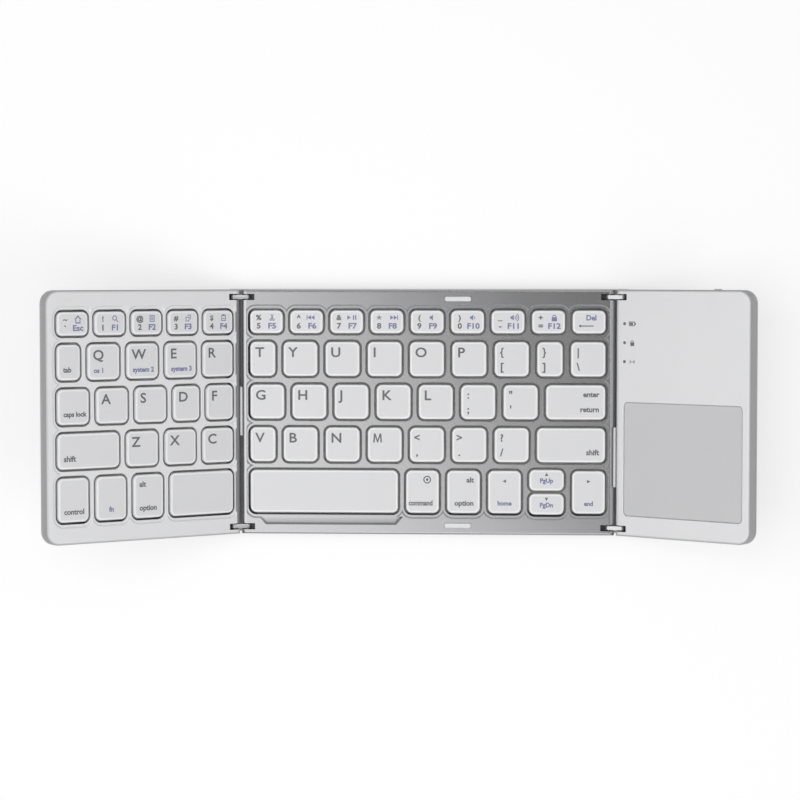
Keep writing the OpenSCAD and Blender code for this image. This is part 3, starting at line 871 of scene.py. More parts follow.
def rounded_box(middle_size: tuple, corner: float, z0: float, z1: float, r: float,
                steps: int = 5) -> Shape:
    """Round-cornered box with rounded edges.

    At an angle a along the rounding its outline is grown by -r (1 - cos a)
    and lies r (1 - sin a) short of the top and of the bottom.

    Args:
        middle_size: its middle and size: x, y, width and depth.
        corner: radius of its upright corners.
        z0: bottom.
        z1: top.
        r: radius of its edges.
        steps: points along the rounding.

    Returns:
        The box.
    """
    rolled = [(box_loop(*middle_size, corner, -r * (1 - math.cos(a))), r * (1 - math.sin(a)))
              for a in np.linspace(0, math.pi / 2, steps)]
    low = [lift(loop, z0 + short) for loop, short in rolled[::-1]]
    return Shape().solid(low + [lift(loop, z1 - short) for loop, short in rolled])


@dataclass(frozen=True)
class Wires:
    """Adds shader nodes to a tree, each already linked to what feeds it.

    Args:
        tree: the node tree.
    """

    tree: bpy.types.NodeTree

    def feed(self, node: bpy.types.Node, inputs: dict) -> bpy.types.Node:
        """Set a node's inputs.

        Args:
            node: the node.
            inputs: for each input's name or number a value, or the socket
                that feeds it.

        Returns:
            The same node.
        """
        for name, value in inputs.items():
            if isinstance(value, bpy.types.NodeSocket):
                self.tree.links.new(value, node.inputs[name])
            else:
                node.inputs[name].default_value = value
        return node

    def node(self, kind: str, inputs: dict, **settings: object) -> bpy.types.Node:
        """Add a shader node.

        Args:
            kind: its type without the usual prefix.
            inputs: what feed() takes.
            settings: its other settings by name.

        Returns:
            The node.
        """
        made = self.tree.nodes.new(f"ShaderNode{kind}")
        for name, value in settings.items():
            setattr(made, name, value)
        return self.feed(made, inputs)

    def math(self, operation: str, *values: object) -> bpy.types.NodeSocket:
        """Add a Math node of one operation and return its result."""
        return self.node("Math", dict(enumerate(values)), operation=operation).outputs[0]

    def position(self) -> bpy.types.NodeSocket:
        """Add a Texture Coordinate node and return the Object coordinates."""
        return self.node("TexCoord", {}).outputs["Object"]


def grain_group() -> bpy.types.NodeTree:
    """Node group for the fine unevenness of paint and moulded plastic.

    From Object coordinates it gives Shade, a number about 1 for the colour,
    Rough, a small change of roughness, and Normal.

    Returns:
        The group, built on first use.
    """
    if "grain" in bpy.data.node_groups:
        return bpy.data.node_groups["grain"]
    tree = bpy.data.node_groups.new("grain", "ShaderNodeTree")
    for name, value in (("Size", 3000.0), ("Amount", 0.02), ("Bump", 0.02)):
        given = tree.interface.new_socket(name, in_out="INPUT", socket_type="NodeSocketFloat")
        given.default_value = value
    for name, kind in (("Shade", "Float"), ("Rough", "Float"), ("Normal", "Vector")):
        tree.interface.new_socket(name, in_out="OUTPUT", socket_type=f"NodeSocket{kind}")
    wires, given = Wires(tree), tree.nodes.new("NodeGroupInput").outputs
    where = wires.position()
    fine = wires.node("TexNoise", {"Vector": where, "Scale": given["Size"], "Detail": 3}).outputs["Fac"]
    broad = wires.node("TexNoise", {"Vector": where, "Scale": 60, "Detail": 2}).outputs["Fac"]
    centred = wires.math("SUBTRACT", wires.math("ADD", fine, broad), 1.0)
    rough = wires.math("MULTIPLY", centred, given["Amount"])
    bump = wires.node("Bump", {"Distance": 0.0001, "Strength": given["Bump"], "Height": fine})
    shade = wires.math("ADD", rough, 1.0)
    wires.feed(tree.nodes.new("NodeGroupOutput"),
               {"Shade": shade, "Rough": rough, "Normal": bump.outputs["Normal"]})
    return tree


@dataclass(frozen=True)
class Finish:
    """How a piece is painted.

    Args:
        name: name of the material.
        color: linear base colour.
        rough: roughness.
        metal: metallic share.
        coat: clear coat weight.
        grain: scale of the fine grain.
        amount: strength of the grain in colour and roughness.
        bump: strength of the grain's bump.
        painted_light: linear colour where the mesh's painted-light mask is 1, or None; painted shade on the
            covers, a painted highlight on the keycaps.
    """

    name: str
    color: tuple
    rough: float = 0.5
    metal: float = 0.0
    coat: float = 0.0
    grain: float = 3000.0
    amount: float = 0.03
    bump: float = 0.02
    painted_light: tuple = None

    def material(self) -> bpy.types.Material:
        """The material, built on first use."""
        name = f"{self.name}_finish"
        if name in bpy.data.materials:
            return bpy.data.materials[name]
        mat = bpy.data.materials.new(name)
        mat.use_nodes = True
        wires = Wires(mat.node_tree)
        grain = wires.node("Group", {"Size": self.grain, "Amount": self.amount, "Bump": self.bump},
                           node_tree=grain_group()).outputs
        # The painted-light mask mixes in the finish's painted shade (covers) or painted highlight
        # (keycaps).
        mask = wires.node("Attribute", {}, attribute_name="painted_light").outputs["Fac"]
        colors = {"Factor": mask, "A": (*self.color, 1), "B": (*(self.painted_light or self.color), 1)}
        tint = wires.node("Mix", colors, data_type="RGBA").outputs["Result"]
        shade = wires.node("VectorMath", {0: tint, "Scale": grain["Shade"]}, operation="SCALE")
        wires.feed(mat.node_tree.nodes["Principled BSDF"], {
            "Base Color": shade.outputs["Vector"],
            "Metallic": self.metal,
            "Roughness": wires.math("ADD", grain["Rough"], self.rough),
            "Coat Weight": self.coat,
            "Normal": grain["Normal"],
        })
        return mat


# The darker second colour of FRAME_SILVER and BEZEL is painted shade on the covers' walls and rounded
# edges.
FRAME_SILVER = Finish("frame_silver", (0.55, 0.55, 0.56), rough=0.26, metal=0.95,
                      painted_light=(0.36, 0.36, 0.37))
BEZEL = Finish("bezel_silver", (0.76, 0.76, 0.77), rough=0.42, metal=0.25,
               painted_light=(0.36, 0.36, 0.37))
# Painted shade for the left wing's rounded hinge edge.
HINGE_SHADE = Finish("hinge_painted_shade", (0.26, 0.26, 0.27), rough=0.42, metal=0.25)
SHELL = Finish("shell_silver", (0.36, 0.36, 0.37), rough=0.3, metal=0.9)
# Painted shade: dark colour for the walls that the cutters make in slots, slits and holes.
SLOT_SHADE = Finish("slot_painted_shade", (0.11, 0.11, 0.115), rough=0.6)
# KEYCAP's lighter second colour is a painted highlight on the keys' upper rounding and sloped border.
KEYCAP = Finish("keycap", (0.66, 0.66, 0.67), rough=0.45, painted_light=(0.8, 0.8, 0.81))
PAD = Finish("touchpad", (0.58, 0.58, 0.59), rough=0.5, amount=0.02)
INKS = {
    Ink.DARK: Finish("legend_dark", (0.13, 0.13, 0.14), rough=0.6),
    Ink.BLUE: Finish("legend_blue", (0.17, 0.19, 0.35), rough=0.6),
}
STEEL = Finish("steel", (0.6, 0.6, 0.61), rough=0.3, metal=1.0)
BRIGHT = Finish("link_steel", (0.62, 0.62, 0.63), rough=0.3, metal=0.6)
SLEEVE = Finish("sleeve_rubber", (0.6, 0.6, 0.61), rough=0.5)
BUMPER = Finish("bumper", (0.7, 0.7, 0.71), rough=0.5)
FOOT = Finish("foot_rubber", (0.03, 0.03, 0.032), rough=0.75, bump=0.1)
LAMP = Finish("lamp", (0.16, 0.16, 0.17), rough=0.3)
BUTTON = Finish("button", (0.6, 0.6, 0.61), rough=0.35)
MEMBRANE = Finish("membrane", (0.5, 0.55, 0.52), rough=0.4)
DOME_RUBBER = Finish("dome_rubber", (0.6, 0.6, 0.57), rough=0.6)
MAGNET = Finish("magnet", (0.55, 0.55, 0.57), rough=0.2, metal=1.0)
BOARD = Finish("board", (0.02, 0.12, 0.05), rough=0.35, coat=0.4)
BATTERY = Finish("battery", (0.32, 0.33, 0.36), rough=0.35, metal=0.6)
INNER = (
    (STEEL, ("mid_key_plate", "left_key_plate", "mid_hinge_pins", "left_hinge_pins",
             "right_hinge_pins", "right_latch_plates", "charging_port", "mid_screws",
             "left_screws", "right_screws")),
    (MEMBRANE, ("mid_membrane", "left_membrane")),
    (DOME_RUBBER, ("mid_domes", "left_domes")),
    (MAGNET, ("mid_magnets",)),
    (BOARD, ("main_board", "touchpad_board")),
    (BATTERY, ("battery",)),
    (LAMP, ("indicator_lights",)),
)


@dataclass
class Cover:
    """A panel's top cover: rim, sunken web, openings and hinge slots.

    Args:
        panel: the panel.
        finish: its paint.
        slot: material slot of the record.
        boss_x: places of the screw bosses.
        sleeve: middle and length of the cable slit, for each hinge edge.
        chamfer: width of the chamfer between the rim and the web.
        slot_w: width of a link's slot.
        slot_deep: reach of a link's slot from the hinge edge.
        slot_low: how far it reaches below the pivots.
        slit_deep: reach of a cable's slit from the hinge edge.
        slit_low: how far it reaches below the pivots.
        slit_high: how far it reaches above them.
        slit_end: how much of the sleeve stands out at each end of its slit.
        parting: half of the gap along the parting line.
        soft: softened edge along the parting line.
    """

    panel: Panel
    finish: Finish
    slot: str
    boss_x: tuple
    sleeve: dict
    chamfer: float = 0.55
    slot_w: float = 2.5
    slot_deep: float = 5.5
    slot_low: float = 1.5
    slit_deep: float = 1.6
    slit_low: float = 0.4
    slit_high: float = 1.3
    slit_end: float = 1.5
    parting: float = 0.04
    soft: float = 0.08

    def outside(self) -> Shape:
        """Walls and rounded edges, from the parting line up to the rim.

        The painted-light mask is 1 on the walls and 1.15 cos(turn) along the rounding, where it paints
        shade.
        """
        p, base = self.panel, S.shell + self.parting
        flat = [edge_ring(p, 0, 0, True, inset) for inset in (self.soft, 0.0)]
        for ring, z in zip(flat, (base, base + self.soft)):
            ring[:, 2] = z
        turns = np.linspace(0, math.pi / 2, 9)
        # Painted shade: full on the walls, easing off over the rounding towards the rim.
        shade = np.concatenate([[1, 1], np.clip(1.15 * np.cos(turns), 0, 1)])
        shape = Shape().strip(flat + [edge_ring(p, t, S.thick, True) for t in turns], shade)
        inner = lift(cavity_loop(p, S.wall), base)
        shape.fill([flat[0], inner], up=False)
        shape.strip([inner, lift(inner[:, :2], S.under)][::-1], smooth=False)
        return shape

    def rim(self) -> np.ndarray:
        """Inner ring of the rounded edge, on the rim."""
        return edge_ring(self.panel, math.pi / 2, S.thick, True)

    def roof(self, holes: list) -> list:
        """Loops of the underside: the cavity's outline and the holes in it."""
        return [lift(loop, S.under) for loop in (cavity_loop(self.panel, S.wall), *holes)]

    def cutter(self) -> Shape:
        """Slots of the hinge links and slits of the cables."""
        p, cut = self.panel, Shape()
        y, w = HALF - S.link_in, self.slot_w / 2
        for x, inward, hinged in ((p.x0, 1, p.hinge0), (p.x1, -1, p.hinge1)):
            if not hinged:
                continue
            a, b = sorted((x - inward, x + inward * self.slot_deep))
            for s in (-1, 1):
                cut.merge(block(a, b, s * y - w, s * y + w, S.pivot_z - self.slot_low, S.thick + 1))
            middle, length = self.sleeve[inward]
            reach = length / 2 - self.slit_end
            a, b = sorted((x - inward, x + inward * self.slit_deep))
            cut.merge(block(a, b, middle - reach, middle + reach, S.pivot_z - self.slit_low,
                            S.pivot_z + self.slit_high))
        return cut

    def beds(self) -> Shape:
        """Shallow cuts that are painted like the cover."""
        return Shape()

    def bosses(self) -> Shape:
        """Posts that take the screws, sunk a little into the roof."""
        posts = Shape()
        for x in self.boss_x:
            for s in (-1, 1):
                loop = circle_loop(x, s * (HALF - S.boss_in), S.boss_r)
                posts.solid([lift(loop, S.floor), lift(loop, S.under + 0.1)])
        return posts

    def top(self) -> Shape:
        """Everything inside the rim."""
        raise NotImplementedError

    def paint_hinge_shade(self, mesh: bpy.types.Mesh) -> None:
        """Paint shade on the left wing's rounded hinge edge, between the links, as a darker colour.

        Args:
            mesh: the cover's mesh, in the panel's frame.
        """
        if self.panel is not LEFT:
            return
        mesh.materials.append(HINGE_SHADE.material())
        points = np.zeros(len(mesh.vertices) * 3)
        corners = np.zeros(len(mesh.loops), dtype=np.int32)
        starts, paint = np.zeros((2, len(mesh.polygons)), dtype=np.int32)
        mesh.vertices.foreach_get("co", points)
        mesh.loops.foreach_get("vertex_index", corners)
        mesh.polygons.foreach_get("loop_start", starts)
        mesh.polygons.foreach_get("material_index", paint)
        x, y, z = points.reshape(-1, 3)[corners].T
        reach = HALF - S.link_in - self.slot_w / 2 + 0.05
        edge = (x > -S.knuckle - 0.2) & (np.abs(y) < reach) & (z > S.shell)
        # Faces on the hinge edge take the painted shade.
        paint[np.logical_and.reduceat(edge, starts) & (paint == 0)] = len(mesh.materials) - 1
        mesh.polygons.foreach_set("material_index", paint)

    def build(self) -> bpy.types.Object:
        """Make the cover."""
        shape = self.outside().merge(self.top())
        name = f"{self.panel.name}_top_cover"
        body = shape.mesh(name)
        # The cutter's walls take the dark painted shade; the beds keep the cover's colour.
        for cutter, face in ((self.beds(), self.finish), (self.cutter(), SLOT_SHADE)):
            if cutter.faces:
                body = carve(body, cutter, self.finish, face)
        whole = join([body, self.bosses().mesh("bosses")], name)
        self.paint_hinge_shade(whole)
        return place(whole, f"{name}_body", self.panel.matrix(), self.finish, self.panel.body,
                     (name,), self.slot)


@dataclass
class KeyCover(Cover):
    """A top cover with keys."""

    def field(self) -> list:
        """Rows for the web's outline, with up and down as one tall key."""
        rows = LAYOUT.rows(self.panel)
        if self.panel is MID:
            up, down = rows[4][4:6]
            rows[4][4:6] = [Key(up.x, (up.y + down.y) / 2, up.w, up.h + down.h + LAYOUT.arrow_gap)]
        return rows

    def openings(self) -> list:
        """Groups of rows of keys; each group shares one opening."""
        rows = LAYOUT.rows(self.panel)
        groups = []
        if self.panel is MID:
            up, down = rows[4][4:6]
            rows[4][4:6] = []
            groups.append([[up], [down]])
        return groups + [[[k]] for row in rows for k in row]

    def top(self) -> Shape:
        """Rim face, chamfered recess, web and key openings."""
        p, rows = self.panel, self.field()
        gx, gy = LAYOUT.gap / 2 + 0.1, LAYOUT.row_gap / 2 + 0.1
        edge, most = S.knuckle + 0.15, 0.12
        low = p.x0 + edge if p.hinge0 else -FAR
        high = p.x1 - edge if p.hinge1 else FAR
        steps = ((self.chamfer, S.thick), (self.chamfer * 0.82, S.thick - 0.06),
                 (self.soft, S.web + 0.18), (0.0, S.web))
        rings = [lift(field_loop(rows, gx, gy, S.key_r + gx, d, low - min(d, most), high + min(d, most)), z)
                 for d, z in steps]
        grow, soft = S.skirt + S.play, 0.1
        groups = self.openings()
        mouths = [field_loop(g, grow, grow, S.key_r + grow, soft) for g in groups]
        throats = [field_loop(g, grow, grow, S.key_r + grow) for g in groups]
        shape = Shape().fill([self.rim(), rings[0]], up=True).strip(rings)
        shape.fill([rings[-1]] + [lift(m, S.web) for m in mouths], up=True)
        for m, t in zip(mouths, throats):
            shape.strip([lift(m, S.web), lift(t, S.web - soft), lift(t, S.under)])
        return shape.fill(self.roof(throats), up=False)

    def beds(self) -> Shape:
        """On the middle panel the thumb rest and the bumper beds."""
        cut = Shape()
        if self.panel is not MID:
            return cut
        k = LAYOUT.rows(MID)[4][0]
        y1 = k.y - k.h / 2 - LAYOUT.row_gap / 2 - 0.1 + 0.3
        a = np.array([(k.x - k.w / 2 + 4, y1), (k.x - k.w / 2 + 6.6, y1 - 2.5),
                      (k.x + k.w / 2 - 1.3, y1 - 2.5), (k.x + k.w / 2 + 1, y1)])
        b = a + np.array([(-1.0, 0.0), (-0.6, -0.9), (0.8, -0.9), (1.2, 0.0)])
        cut.solid([lift(a, S.web + 0.005), lift(a + (b - a) * 0.9, S.thick - 0.05),
                   lift(b, S.thick + 0.1), lift(b, S.thick + 1)])
        long, wide = (size / 2 + FIT.bumper_play for size in FIT.bumper)
        for y in (-FIT.bumper_y, FIT.bumper_y):
            cut.merge(block(S.seam_x - long, S.seam_x + long, y - wide, y + wide,
                            S.thick - FIT.bumper_deep, S.thick + 1))
        return cut


@dataclass
class PadCover(Cover):
    """The right wing's top cover, with the touchpad's bed and the back wall's holes.

    Args:
        play: gap round the touchpad.
        ledge: width of the ledge under the touchpad's edge.
        lamp_r: radius of the lamp holes.
    """

    play: float = 0.2
    ledge: float = 1.6
    lamp_r: float = 0.65

    def top(self) -> Shape:
        """Rim face, pad pocket, ledge and the opening under the pad."""
        x, y, w, h = FIT.pad
        steps = ((self.play + 0.22, S.thick), (self.play, S.thick - 0.2), (self.play, FIT.pad_bed))
        pocket = [lift(box_loop(x, y, w, h, FIT.pad_r, d), z) for d, z in steps]
        ledge = box_loop(x, y, w - 2 * self.ledge, h - 2 * self.ledge, 0.3)
        shape = Shape().fill([self.rim(), pocket[0]], up=True).strip(pocket)
        shape.fill([pocket[-1], lift(ledge, FIT.pad_bed)], up=True)
        shape.strip([lift(ledge, FIT.pad_bed), lift(ledge, S.under)])
        return shape.fill(self.roof([ledge]), up=False)

    def cutter(self) -> Shape:
        """Hinge cuts, lamp holes and the holes in the back wall."""
        cut = super().cutter()
        for i in range(3):
            loop = circle_loop(FIT.lamp_x, FIT.lamp_y(i), self.lamp_r)
            cut.solid([lift(loop, 5.0), lift(loop, S.thick + 1)])
        return cut.merge(back_holes())


def back_holes() -> Shape:
    """Cutters for the charging port and the power button in the back wall."""
    cut = Shape()
    for x, z, (w, h) in ((FIT.port_x, FIT.port_z, FIT.port_hole),
                         (FIT.button_x, FIT.button_z, FIT.button_hole)):
        loop = box_loop(0, 0, w, h, h / 2 - 0.02)
        tool = Shape().solid([lift(loop, 0.0), lift(loop, S.wall + 2)])
        cut.merge(tool, Matrix.Translation((x, HALF + 1, z)) @ UPRIGHT)
    return cut


@dataclass
class Tray:
    """A panel's bottom shell with counterbored screw holes.

    Args:
        panel: the panel.
        boss_x: places of the screws.
        head_r: radius of the bore for a screw's head.
        head_deep: depth of that bore.
        shaft_r: radius of the hole for its shaft.
        parting: half of the gap along the parting line.
        soft: softened edge along the parting line.
    """

    panel: Panel
    boss_x: tuple
    head_r: float = 1.4
    head_deep: float = 0.5
    shaft_r: float = 0.8
    parting: float = 0.04
    soft: float = 0.08

    def build(self) -> bpy.types.Object:
        """Make the shell."""
        p, rim = self.panel, S.shell - self.parting
        turns = np.linspace(math.pi / 2, 0, 9)
        outer = [edge_ring(p, t, 0.0, False) for t in turns]
        top = [edge_ring(p, 0, 0, False, inset) for inset in (0.0, self.soft)]
        for ring, z in zip(top, (rim - self.soft, rim)):
            ring[:, 2] = z
        shape = Shape().strip(outer + top)
        room = [edge_ring(p, 0, 0, False, 0, S.wall)]
        room[0][:, 2] = rim
        room += [edge_ring(p, t, S.floor, False, 0, S.wall) for t in turns[::-1]]
        holes = [(x, s * (HALF - S.boss_in)) for x in self.boss_x for s in (-1, 1)]
        wide = [circle_loop(x, y, self.head_r, 24) for x, y in holes]
        slim = [circle_loop(x, y, self.shaft_r, 24) for x, y in holes]
        shape.fill([outer[0]] + [lift(c, 0.0) for c in wide], up=False)
        shape.fill([top[-1], room[0]], up=True)
        shape.strip(room)
        shape.fill([room[-1]] + [lift(c, S.floor) for c in slim], up=True)
        for a, b in zip(wide, slim):
            shape.strip([lift(b, S.floor), lift(b, self.head_deep), lift(a, self.head_deep), lift(a, 0.0)])
        name = f"{p.name}_bottom_shell"
        mesh = shape.mesh(name)
        if p is RIGHT:
            # The holes' walls take the dark painted shade.
            mesh = carve(mesh, back_holes(), SHELL, SLOT_SHADE)
            mesh = join([mesh, self.standoffs().mesh("standoffs")], name)
        return place(mesh, f"{name}_body", p.matrix(), SHELL, p.body, (name,), "shell_silver")

    def standoffs(self) -> Shape:
        """Short posts under the main board."""
        posts = Shape()
        for x in (5.6, 51.6):
            for y in (14.5, 40.5):
                loop = circle_loop(x, y, 1.6)
                posts.solid([lift(loop, S.floor - 0.1), lift(loop, S.floor + 0.3)])
        return posts


KEY_NODES = {
    "left": (("left_number_keys", 0, 0, 5), ("key_tab", 1, 0, 1), ("left_upper_keys", 1, 1, 5),
             ("key_caps", 2, 0, 1), ("left_home_keys", 2, 1, 5), ("key_left_shift", 3, 0, 1),
             ("left_lower_keys", 3, 1, 4), ("key_control", 4, 0, 1), ("key_fn", 4, 1, 2),
             ("key_left_alt", 4, 2, 3), ("key_left_space", 4, 3, 4)),
    "mid": (("mid_number_keys", 0, 0, 9), ("mid_upper_keys", 1, 0, 8), ("key_backslash", 1, 8, 9),
            ("mid_home_keys", 2, 0, 7), ("key_enter", 2, 7, 8), ("mid_lower_keys", 3, 0, 7),
            ("key_right_shift", 3, 7, 8), ("key_space", 4, 0, 1), ("key_command", 4, 1, 2),
            ("key_right_alt", 4, 2, 3), ("key_left_arrow", 4, 3, 4), ("key_up", 4, 4, 5),
            ("key_down", 4, 5, 6), ("key_right_arrow", 4, 6, 7)),
}


class Sign(Enum):
    """Drawn signs, each in a square of side 1 about its middle."""

    HOME = "home"
    FIND = "find"
    SHEET = "sheet"
    COPY = "copy"
    PASTE = "paste"
    CUT = "cut"
    BACK = "back"
    PLAY = "play"
    NEXT = "next"
    MUTE = "mute"
    LOW = "low"
    LOUD = "loud"
    LOCK = "lock"
    DOT = "dot"
    DELETE = "delete"
    BATTERY = "battery"
    BEAMS = "beams"
    LETTER_M = "M"
    STAR = "*"


def bar(x0: float, y0: float, x1: float, y1: float) -> np.ndarray:
    """Rectangle between two corners, anticlockwise."""
    return np.array([[x0, y0], [x1, y0], [x1, y1], [x0, y1]])


def frame_of(x0: float, y0: float, x1: float, y1: float, t: float) -> list:
    """Rectangle with a rim of width t."""
    return [bar(x0, y0, x1, y1), bar(x0 + t, y0 + t, x1 - t, y1 - t)]


def wedge(x: float, side: int, s: float = 0.42) -> np.ndarray:
    """Triangle whose tip is at x and points to the given side."""
    return np.array([[x, 0.0], [x - 1.5 * s * side, s], [x - 1.5 * s * side, -s]])


def arc(r: float, t: float, start: float, end: float, x: float = 0.0, y: float = 0.0) -> np.ndarray:
    """Part of a ring: (x, y) + (r +- t / 2) (cos a, sin a).

    Args:
        r: radius of its middle.
        t: its width.
        start: first angle in degrees.
        end: last angle in degrees.
        x: middle of the ring along x.
        y: middle of the ring along y.

    Returns:
        An (n, 2) array.
    """
    a = np.radians(np.linspace(start, end, 13))
    way = np.stack([np.cos(a), np.sin(a)], -1)
    return np.concatenate([way * (r + t / 2), way[::-1] * (r - t / 2)]) + (x, y)


def ring_of(x: float, y: float, r: float, t: float) -> list:
    """Ring of radius r and width t."""
    return [circle_loop(x, y, r + t / 2, 20), circle_loop(x, y, r - t / 2, 20)]


def drawing(sign: Sign) -> list:
    """The fills of a sign.

    Args:
        sign: the sign.

    Returns:
        A list of fills, each a list of an outer loop and its holes.
    """
    horn = np.array([[-0.5, -0.2], [-0.28, -0.2], [0.0, -0.45], [0.0, 0.45], [-0.28, 0.2], [-0.5, 0.2]])
    house = np.array([[-0.5, 0.0], [-0.34, 0.0], [-0.34, -0.5], [0.34, -0.5], [0.34, 0.0], [0.5, 0.0],
                      [0.0, 0.5]])
    turn = np.radians(np.arange(20) * 18 + 9)
    reach = np.where(np.arange(20) % 4 < 2, 0.5, 0.17)
    star = np.stack([reach * np.cos(turn), reach * np.sin(turn)], -1)
    letter_m = np.array([[-0.47, -0.49], [-0.31, -0.49], [-0.27, 0.15], [-0.05, -0.49], [0.05, -0.49],
                         [0.27, 0.15], [0.31, -0.49], [0.47, -0.49], [0.39, 0.49], [0.23, 0.49],
                         [0.0, -0.2], [-0.23, 0.49], [-0.39, 0.49]])
    return {
        Sign.HOME: [[house, house * (0.62, 0.62) - (0.0, 0.04)]],
        Sign.FIND: [ring_of(-0.1, 0.12, 0.29, 0.13),
                    [np.array([[0.06, -0.12], [0.14, -0.04], [0.48, -0.38], [0.4, -0.48]])]],
        Sign.SHEET: [frame_of(-0.42, -0.5, 0.42, 0.5, 0.12)]
        + [[bar(-0.24, y - 0.05, 0.24, y + 0.05)] for y in (-0.18, 0.02, 0.22)],
        Sign.COPY: [frame_of(-0.45, -0.5, 0.2, 0.2, 0.12), [bar(-0.12, 0.38, 0.45, 0.5)],
                    [bar(0.33, -0.2, 0.45, 0.4)]],
        Sign.PASTE: [frame_of(-0.4, -0.5, 0.4, 0.4, 0.12), [bar(-0.18, 0.26, 0.18, 0.52)],
                     [bar(-0.2, -0.2, 0.2, -0.08)]],
        Sign.CUT: [ring_of(-0.22, -0.33, 0.14, 0.1), ring_of(0.22, -0.33, 0.14, 0.1),
                   [np.array([[-0.2, -0.22], [-0.08, -0.26], [0.26, 0.5], [0.14, 0.5]])],
                   [np.array([[0.2, -0.22], [0.08, -0.26], [-0.26, 0.5], [-0.14, 0.5]])]],
        Sign.BACK: [[bar(-1.0, -0.42, -0.85, 0.42)], [wedge(-0.84, -1)], [wedge(-0.2, -1)]],
        Sign.PLAY: [[wedge(-0.3, 1)], [bar(0.1, -0.42, 0.32, 0.42)], [bar(0.5, -0.42, 0.72, 0.42)]],
        Sign.NEXT: [[wedge(0.2, 1)], [wedge(0.84, 1)], [bar(0.85, -0.42, 1.0, 0.42)]],
        Sign.MUTE: [[horn]],
        Sign.LOW: [[horn], [arc(0.25, 0.12, -50, 50)]],
        Sign.LOUD: [[horn]] + [[arc(r, 0.12, -50, 50)] for r in (0.25, 0.5, 0.75)],
        Sign.LOCK: [[bar(-0.36, -0.5, 0.36, 0.08)], [arc(0.22, 0.12, 0, 180, 0.0, 0.1)]],
        Sign.DOT: [ring_of(0.0, 0.0, 0.42, 0.14), [circle_loop(0.0, 0.0, 0.17, 20)]],
        Sign.DELETE: [[wedge(-1.7, -1, 0.36)], [bar(-1.3, -0.12, 1.7, 0.12)]],
        Sign.BATTERY: [frame_of(-0.28, -0.5, 0.28, 0.38, 0.1), [bar(-0.12, 0.38, 0.12, 0.52)],
                       [bar(-0.14, -0.36, 0.14, 0.1)]],
        Sign.BEAMS: [[circle_loop(0.0, 0.0, 0.1, 12)]]
        + [[arc(r, 0.1, mid - 40, mid + 40)] for r in (0.28, 0.48) for mid in (0, 180)],
        Sign.STAR: [[star]],
        Sign.LETTER_M: [[letter_m]],
    }[sign]


def drawn(sign: Sign, height: float) -> Shape:
    """A sign as a flat mesh about the origin.

    Args:
        sign: the sign.
        height: side of its square.

    Returns:
        The mesh.
    """
    shape = Shape()
    for loops in drawing(sign):
        shape.fill([lift(loop * height, 0.0) for loop in loops], True)
    return shape


@dataclass(frozen=True)
class Legend:
    """One printed word or sign.

    Args:
        text: what is printed.
        dx: distance from the key's left edge, or from its right edge if negative.
        dy: distance of the text's middle from the key's back edge, or from
            its front edge if negative.
        size: height of a capital letter or of a sign.
        ink: colour.
        align: how it lies about that place.
        wide: stretch of its width.
    """

    text: str | Sign
    dx: float
    dy: float
    size: float
    ink: Ink = Ink.DARK
    align: Align = Align.LEFT
    wide: float = 1.0


def letter(char: str | Sign, below: str = "") -> list:
    """Legends of a letter key.

    Args:
        char: the letter, or its sign.
        below: word of its second function.

    Returns:
        A list of Legend.
    """
    second = [Legend(below, 2.4, -3.5, 1.8, Ink.BLUE)] if below else []
    if isinstance(char, Sign):
        return [Legend(char, 3.9, 4.1, 3.75, align=Align.CENTER)] + second
    return [Legend(char, 2.0, 4.1, 3.75, wide=1.08)] + second


def pair(upper: str, lower: str) -> list:
    """Legends of a punctuation key, one above the other."""
    return [Legend(text, 2.8, y, 2.9, align=Align.CENTER) for text, y in ((upper, 3.9), (lower, 9.7))]


def number(upper: str | Sign, lower: str, name: str, sign: Sign, size: float = 2.6) -> list:
    """Legends of a number key.

    Args:
        upper: what it writes with shift.
        lower: what it writes.
        name: name of its second function.
        sign: sign of its second function.
        size: height of that sign.

    Returns:
        A list of Legend.
    """
    left, right, high, low = 3.4, -4.2, 2.8, 6.1
    return [
        Legend(upper, left, high, 1.95, align=Align.CENTER, wide=1.1),
        Legend(lower, left, low, 2.1, align=Align.CENTER, wide=1.1),
        Legend(sign, right, high, size, Ink.BLUE, Align.CENTER),
        Legend(name, right, low, 2.1, Ink.BLUE, Align.CENTER, 1.15),
    ]


def word(text: str, right: bool = False, low: bool = True, size: float = 2.0, wide: float = 1.0) -> list:
    """Legend of a named key.

    Args:
        text: the name.
        right: whether it stands at the key's right edge.
        low: whether it stands at the key's front edge.
        size: height of a capital letter.
        wide: stretch of its width.

    Returns:
        A list with one Legend.
    """
    align = Align.RIGHT if right else Align.LEFT
    return [Legend(text, -2.4 if right else 2.4, -4.0 if low else 3.6, size, align=align, wide=wide)]


def arrow(sign: str, name: str, high: float, low: float) -> list:
    """Legends of an arrow key.

    Args:
        sign: the arrow.
        name: word of its second function.
        high: distance of the arrow from the key's back edge.
        low: distance of the word from the back edge, or from the front edge
            if negative.

    Returns:
        A list of Legend.
    """
    return [Legend(sign, 0.0, high, 2.4, align=Align.MIDDLE),
            Legend(name, 0.0, low, 1.7, Ink.BLUE, Align.MIDDLE)]


def left_legends() -> list:
    """Legends of the left wing's keys, row by row."""
    return [
        [number("~", "`", "Esc", Sign.HOME, 3.2), number("!", "1", "F1", Sign.FIND, 2.9),
         number("@", "2", "F2", Sign.SHEET), number("#", "3", "F3", Sign.COPY),
         number("$", "4", "F4", Sign.PASTE)],
        [word("tab", size=1.9), letter("Q", "os 1"), letter("W", "system 2"), letter("E", "system 3"),
         letter("R")],
        [word("caps lock", size=1.8)] + [letter(c) for c in "ASDF"],
        [word("shift", size=2.1)] + [letter(c) for c in "ZXC"],
        [word("control"), [Legend("fn", 0.0, -4.2, 1.9, Ink.BLUE, Align.MIDDLE)],
         word("alt", low=False) + word("option"), []],
    ]


